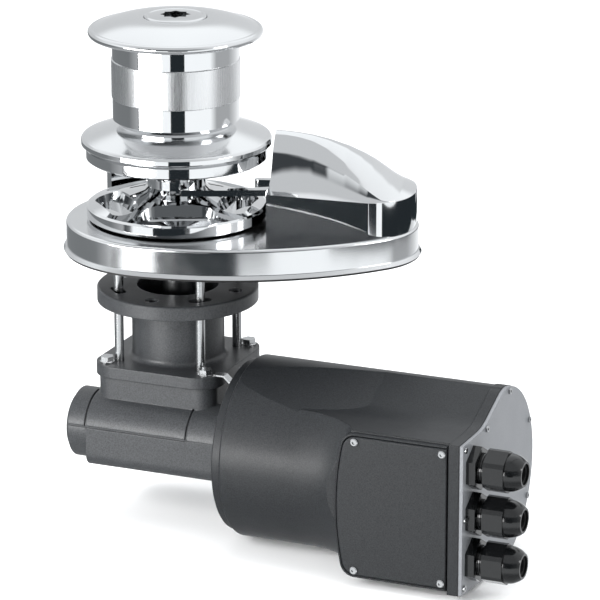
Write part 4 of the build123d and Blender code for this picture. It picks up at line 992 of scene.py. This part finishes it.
@dataclass
class Hood:
    """Polished hood over the chain pipe: upright walls, a crowned top and a cove in each flank.

    Sizes are in millimetres, along and across the base, which is turned a little about the shaft.

    Attributes:
        base_yaw_deg: Turn of the base about the shaft.
        floor_height: Height of the base's upper face.
        ledge: Height of the walls.
        mouth_radius: Radius of the mouth about the shaft.
        mouth_share: Share of that radius at which the mouth takes its width from the walls.
        wall_start: Half width of the hood over the shaft, from which the walls flare.
        flare: Half width gained per millimetre along the base.
        tail_start: Where the rounded tail begins.
        tail_end: Where the tail ends.
        tail_power: Power of the tail's outline; two is an ellipse.
        crown_power: Power of the crown's cross-section.
        cove_slope: Share of the cove that rises evenly; the rest curls up towards its edge.
        cove_limit: Largest share of the half width that a cove takes up.
        wall: Thickness of the shell.
        stations: Cross-sections from the mouth to the tail.
        columns: Columns of the grid, along the base.
        rows: Rows of the grid, across the base.
        column_power: Power that crowds the columns towards the tail.
        least: Smallest half width to divide by.
        slack: How far outside the mouth's radius a face still belongs to the mouth.
        weld: Distance at which points of the tail become one.
    """

    base_yaw_deg: float = -6.0
    floor_height: float = 26.0
    ledge: float = 54.5
    mouth_radius: float = 81.2
    mouth_share: float = 0.94
    wall_start: float = 13.78
    flare: float = 0.1954
    tail_start: float = 160.0
    tail_end: float = 195.5
    tail_power: float = 2.2
    crown_power: float = 2.2
    cove_slope: float = 0.42
    cove_limit: float = 0.6
    wall: float = 2.6
    stations: tuple[Station, ...] = (
        Station(80.0, 101.0, 15.0, 85.5),
        Station(90.0, 100.6, 17.0, 85.0),
        Station(100.0, 99.6, 18.0, 84.0),
        Station(112.0, 97.6, 18.0, 82.2),
        Station(125.0, 94.2, 15.5, 79.2),
        Station(140.0, 88.6, 11.0, 74.0),
        Station(152.0, 82.6, 7.0, 67.8),
        Station(161.0, 77.0, 4.0, 62.4),
        Station(170.0, 70.4, 1.6, 56.6),
        Station(176.0, 65.4, 0.6, 55.2),
        Station(184.0, 59.4, 0.6, 54.9),
        Station(196.0, 54.9, 0.6, 54.7),
    )
    columns: int = 110
    rows: int = 72
    column_power: float = 0.9
    least: float = 0.01
    slack: float = 0.3
    weld: float = 0.02

    def build(self) -> None:
        """Form the shell from a grid and draw its rim down to the base."""
        shape = bmesh.new()
        bmesh.ops.create_grid(shape, x_segments=self.columns, y_segments=self.rows, size=1.0)
        for point in shape.verts:
            place, across = self.spot((point.co.x + 1.0) / 2.0, point.co.y)
            half = self.half_width(place)
            rise = self.height(place, half - abs(across), half)
            point.co = Vector((place, across, rise))
        rim = [edge for edge in shape.edges if edge.is_boundary]
        drawn = bmesh.ops.extrude_edge_only(shape, edges=rim)
        for point in drawn["geom"]:
            if isinstance(point, bmesh.types.BMVert):
                point.co.z = self.floor_height
        mouth = [face for face in shape.faces if self.at_mouth(face)]
        bmesh.ops.delete(shape, geom=mouth, context="FACES")
        bmesh.ops.remove_doubles(shape, verts=shape.verts, dist=self.weld)
        bmesh.ops.recalc_face_normals(shape, faces=shape.faces)
        bmesh.ops.solidify(shape, geom=shape.faces, thickness=self.wall)
        bmesh.ops.recalc_face_normals(shape, faces=shape.faces)
        bmesh.ops.scale(shape, vec=(MM, MM, MM), verts=shape.verts)
        turn = Matrix.Rotation(math.radians(self.base_yaw_deg), 3, "Z")
        bmesh.ops.rotate(shape, matrix=turn, verts=shape.verts)
        hood = finished("hood_shell", shape, MIRROR, "housing")
        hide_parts("hood")

    def half_width(self, place: float) -> float:
        """Half width of the plan at a place along the base."""
        if place <= self.tail_start:
            return self.wall_start + self.flare * place
        wide = self.wall_start + self.flare * self.tail_start
        part = min((place - self.tail_start) / (self.tail_end - self.tail_start), 1.0)
        return wide * (1.0 - part ** self.tail_power) ** (1 / self.tail_power)

    def section(self, place: float) -> Station:
        """Cross-section at a place, on the straight lines between its two neighbours."""
        for before, after in zip(self.stations, self.stations[1:]):
            if before.place < place <= after.place:
                part = (place - before.place) / (after.place - before.place)
                return Station(
                    place,
                    before.crown + (after.crown - before.crown) * part,
                    before.cove + (after.cove - before.cove) * part,
                    before.edge + (after.edge - before.edge) * part,
                )
        return self.stations[0 if place <= self.stations[0].place else -1]

    def cove(self, section: Station, half: float) -> float:
        """Depth of the cove where the hood has a given half width."""
        return min(section.cove, max(half * self.cove_limit, self.least))

    def height(self, place: float, inwards: float, half: float) -> float:
        """Height of the top.

        Args:
            place: Where along the base.
            inwards: Distance from the wall.
            half: Half width there.

        Returns:
            Height over the deck.
        """
        section = self.section(place)
        cove = self.cove(section, half)
        if inwards < cove:
            part = inwards / cove
            curl = self.cove_slope * part + (1.0 - self.cove_slope) * part ** 3
            return self.ledge + (section.edge - self.ledge) * curl
        part = min((inwards - cove) / max(half - cove, self.least), 1.0)
        swell = 1.0 - (1.0 - part) ** self.crown_power
        return section.edge + (section.crown - section.edge) * swell

    def spot(self, run: float, row: float) -> tuple[float, float]:
        """Plan position of a grid point, with one row of the grid along the cove's upper edge.

        The place along the base and the cove's share of the width depend on each other, so a few
        rounds settle them.

        Args:
            run: Share of the way from the mouth to the tail.
            row: Share of the rows, from minus one to one; the outer halves lie in the coves.

        Returns:
            Places along and across the base.
        """
        side = row
        for _ in range(4):
            place = self.place_at(run, side)
            half = max(self.half_width(place), 2.0 * self.least)
            edge = 1.0 - self.cove(self.section(place), half) / half
            share = abs(row) * 2.0
            share = share * edge if share < 1.0 else edge + (share - 1.0) * (1.0 - edge)
            side = math.copysign(share, row)
        place = self.place_at(run, side)
        return place, side * self.half_width(place)

    def place_at(self, run: float, side: float) -> float:
        """Place along the base for a share of the run, with the mouth hollowed round the wheel.

        Args:
            run: Share of the way from the mouth to the tail.
            side: Share of the half width, from minus one to one.

        Returns:
            The place in millimetres.
        """
        mouth_half = side * (self.wall_start + self.flare * self.mouth_radius * self.mouth_share)
        start = math.sqrt(self.mouth_radius ** 2 - mouth_half ** 2)
        return start + (self.tail_end - start) * math.sin(run * math.pi / 2) ** self.column_power

    def at_mouth(self, face: bmesh.types.BMFace) -> bool:
        """Tell whether a face is part of the upright wall that closes the mouth."""
        centre = face.calc_center_median()
        return abs(face.normal.z) < 0.5 and math.hypot(centre.x, centre.y) < self.mouth_radius + self.slack


@dataclass
class DeckUnit:
    """Base, hood, stripper, lever and guard, with their seals, screws and the studs under them."""

    polished: tuple[str, ...] = ("stripper", "chain_guard", "pressure_lever", "lever_pin")
    fine: tuple[str, ...] = ("base",)
    sealed: tuple[str, ...] = ("base_gasket", "deck_seal")
    turned: tuple[str, ...] = ("studs", "deck_screws")
    bushes: tuple[str, ...] = ("upper_bush",)

    def dress(self) -> None:
        """Form the hood and give the deck unit its finishes."""
        Hood().build()
        wear(MIRROR, self.polished)
        wear(FINE, self.fine)
        wear(RUBBER, self.sealed)
        wear(FASTENER, self.turned)
        wear(BRONZE, self.bushes)


@dataclass
class DriveLine:
    """Everything that turns: drum, chain wheel, clutch, shaft, worm and armature."""

    drums: tuple[str, ...] = ("drum",)
    polished: tuple[str, ...] = ("gypsy", "clutch_nut", "lower_cone")
    turned: tuple[str, ...] = ("shaft", "shaft_keys", "worm")
    wheels: tuple[str, ...] = ("worm_wheel",)
    windings: tuple[str, ...] = ("commutator",)
    cores: tuple[str, ...] = ("armature",)

    def dress(self) -> None:
        """Give the turning pieces their finishes."""
        wear(DRUM, self.drums)
        wear(MIRROR, self.polished)
        wear(FASTENER, self.turned)
        wear(BRONZE, self.wheels)
        wear(COPPER, self.windings)
        wear(CORE, self.cores)


@dataclass
class GearUnit:
    """Neck and gearbox under the deck, with bolts and bushes."""

    castings: tuple[str, ...] = ("neck", "gearbox", "gearbox_cover", "worm_cap")
    fasteners: tuple[str, ...] = ("neck_bolts", "flange_screws", "cover_screws", "earth_strap", "earth_screw")
    bushes: tuple[str, ...] = ("neck_bush", "lower_bush", "worm_bushes")

    def dress(self) -> None:
        """Give the gear unit its finishes."""
        wear(GEAR_CASTING, self.castings)
        wear(FASTENER, self.fasteners)
        wear(BRONZE, self.bushes)


@dataclass
class MotorUnit:
    """Motor cover with the terminal box, field ring, end plate and cable glands."""

    castings: tuple[str, ...] = ("motor_ring", "motor_cover", "box_lid")
    plates: tuple[str, ...] = ("end_plate",)
    fasteners: tuple[str, ...] = ("lid_screws", "end_screws")
    seals: tuple[str, ...] = ("lid_seal", "gland_seals")
    glands: tuple[str, ...] = ("gland_bodies", "gland_nuts")
    blocks: tuple[str, ...] = ("terminal_block",)
    cores: tuple[str, ...] = ("stator",)

    def dress(self) -> None:
        """Give the motor unit its finishes."""
        wear(CASTING, self.castings)
        wear(PLATE, self.plates)
        wear(FASTENER, self.fasteners)
        wear(RUBBER, self.seals)
        wear(POLYAMIDE, self.glands)
        wear(BLOCK, self.blocks)
        wear(CORE, self.cores)


def main() -> None:
    """Load the frame, dress every sub-assembly and build the studio."""
    logging.basicConfig(level=logging.INFO)
    FRAME.update(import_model())
    bpy.context.scene.view_settings.view_transform = "Standard"
    for unit in (DeckUnit(), DriveLine(), GearUnit(), MotorUnit()):
        unit.dress()
        log.info("%s done", type(unit).__name__)
    Studio().build()


if __name__ == "__main__":
    main()
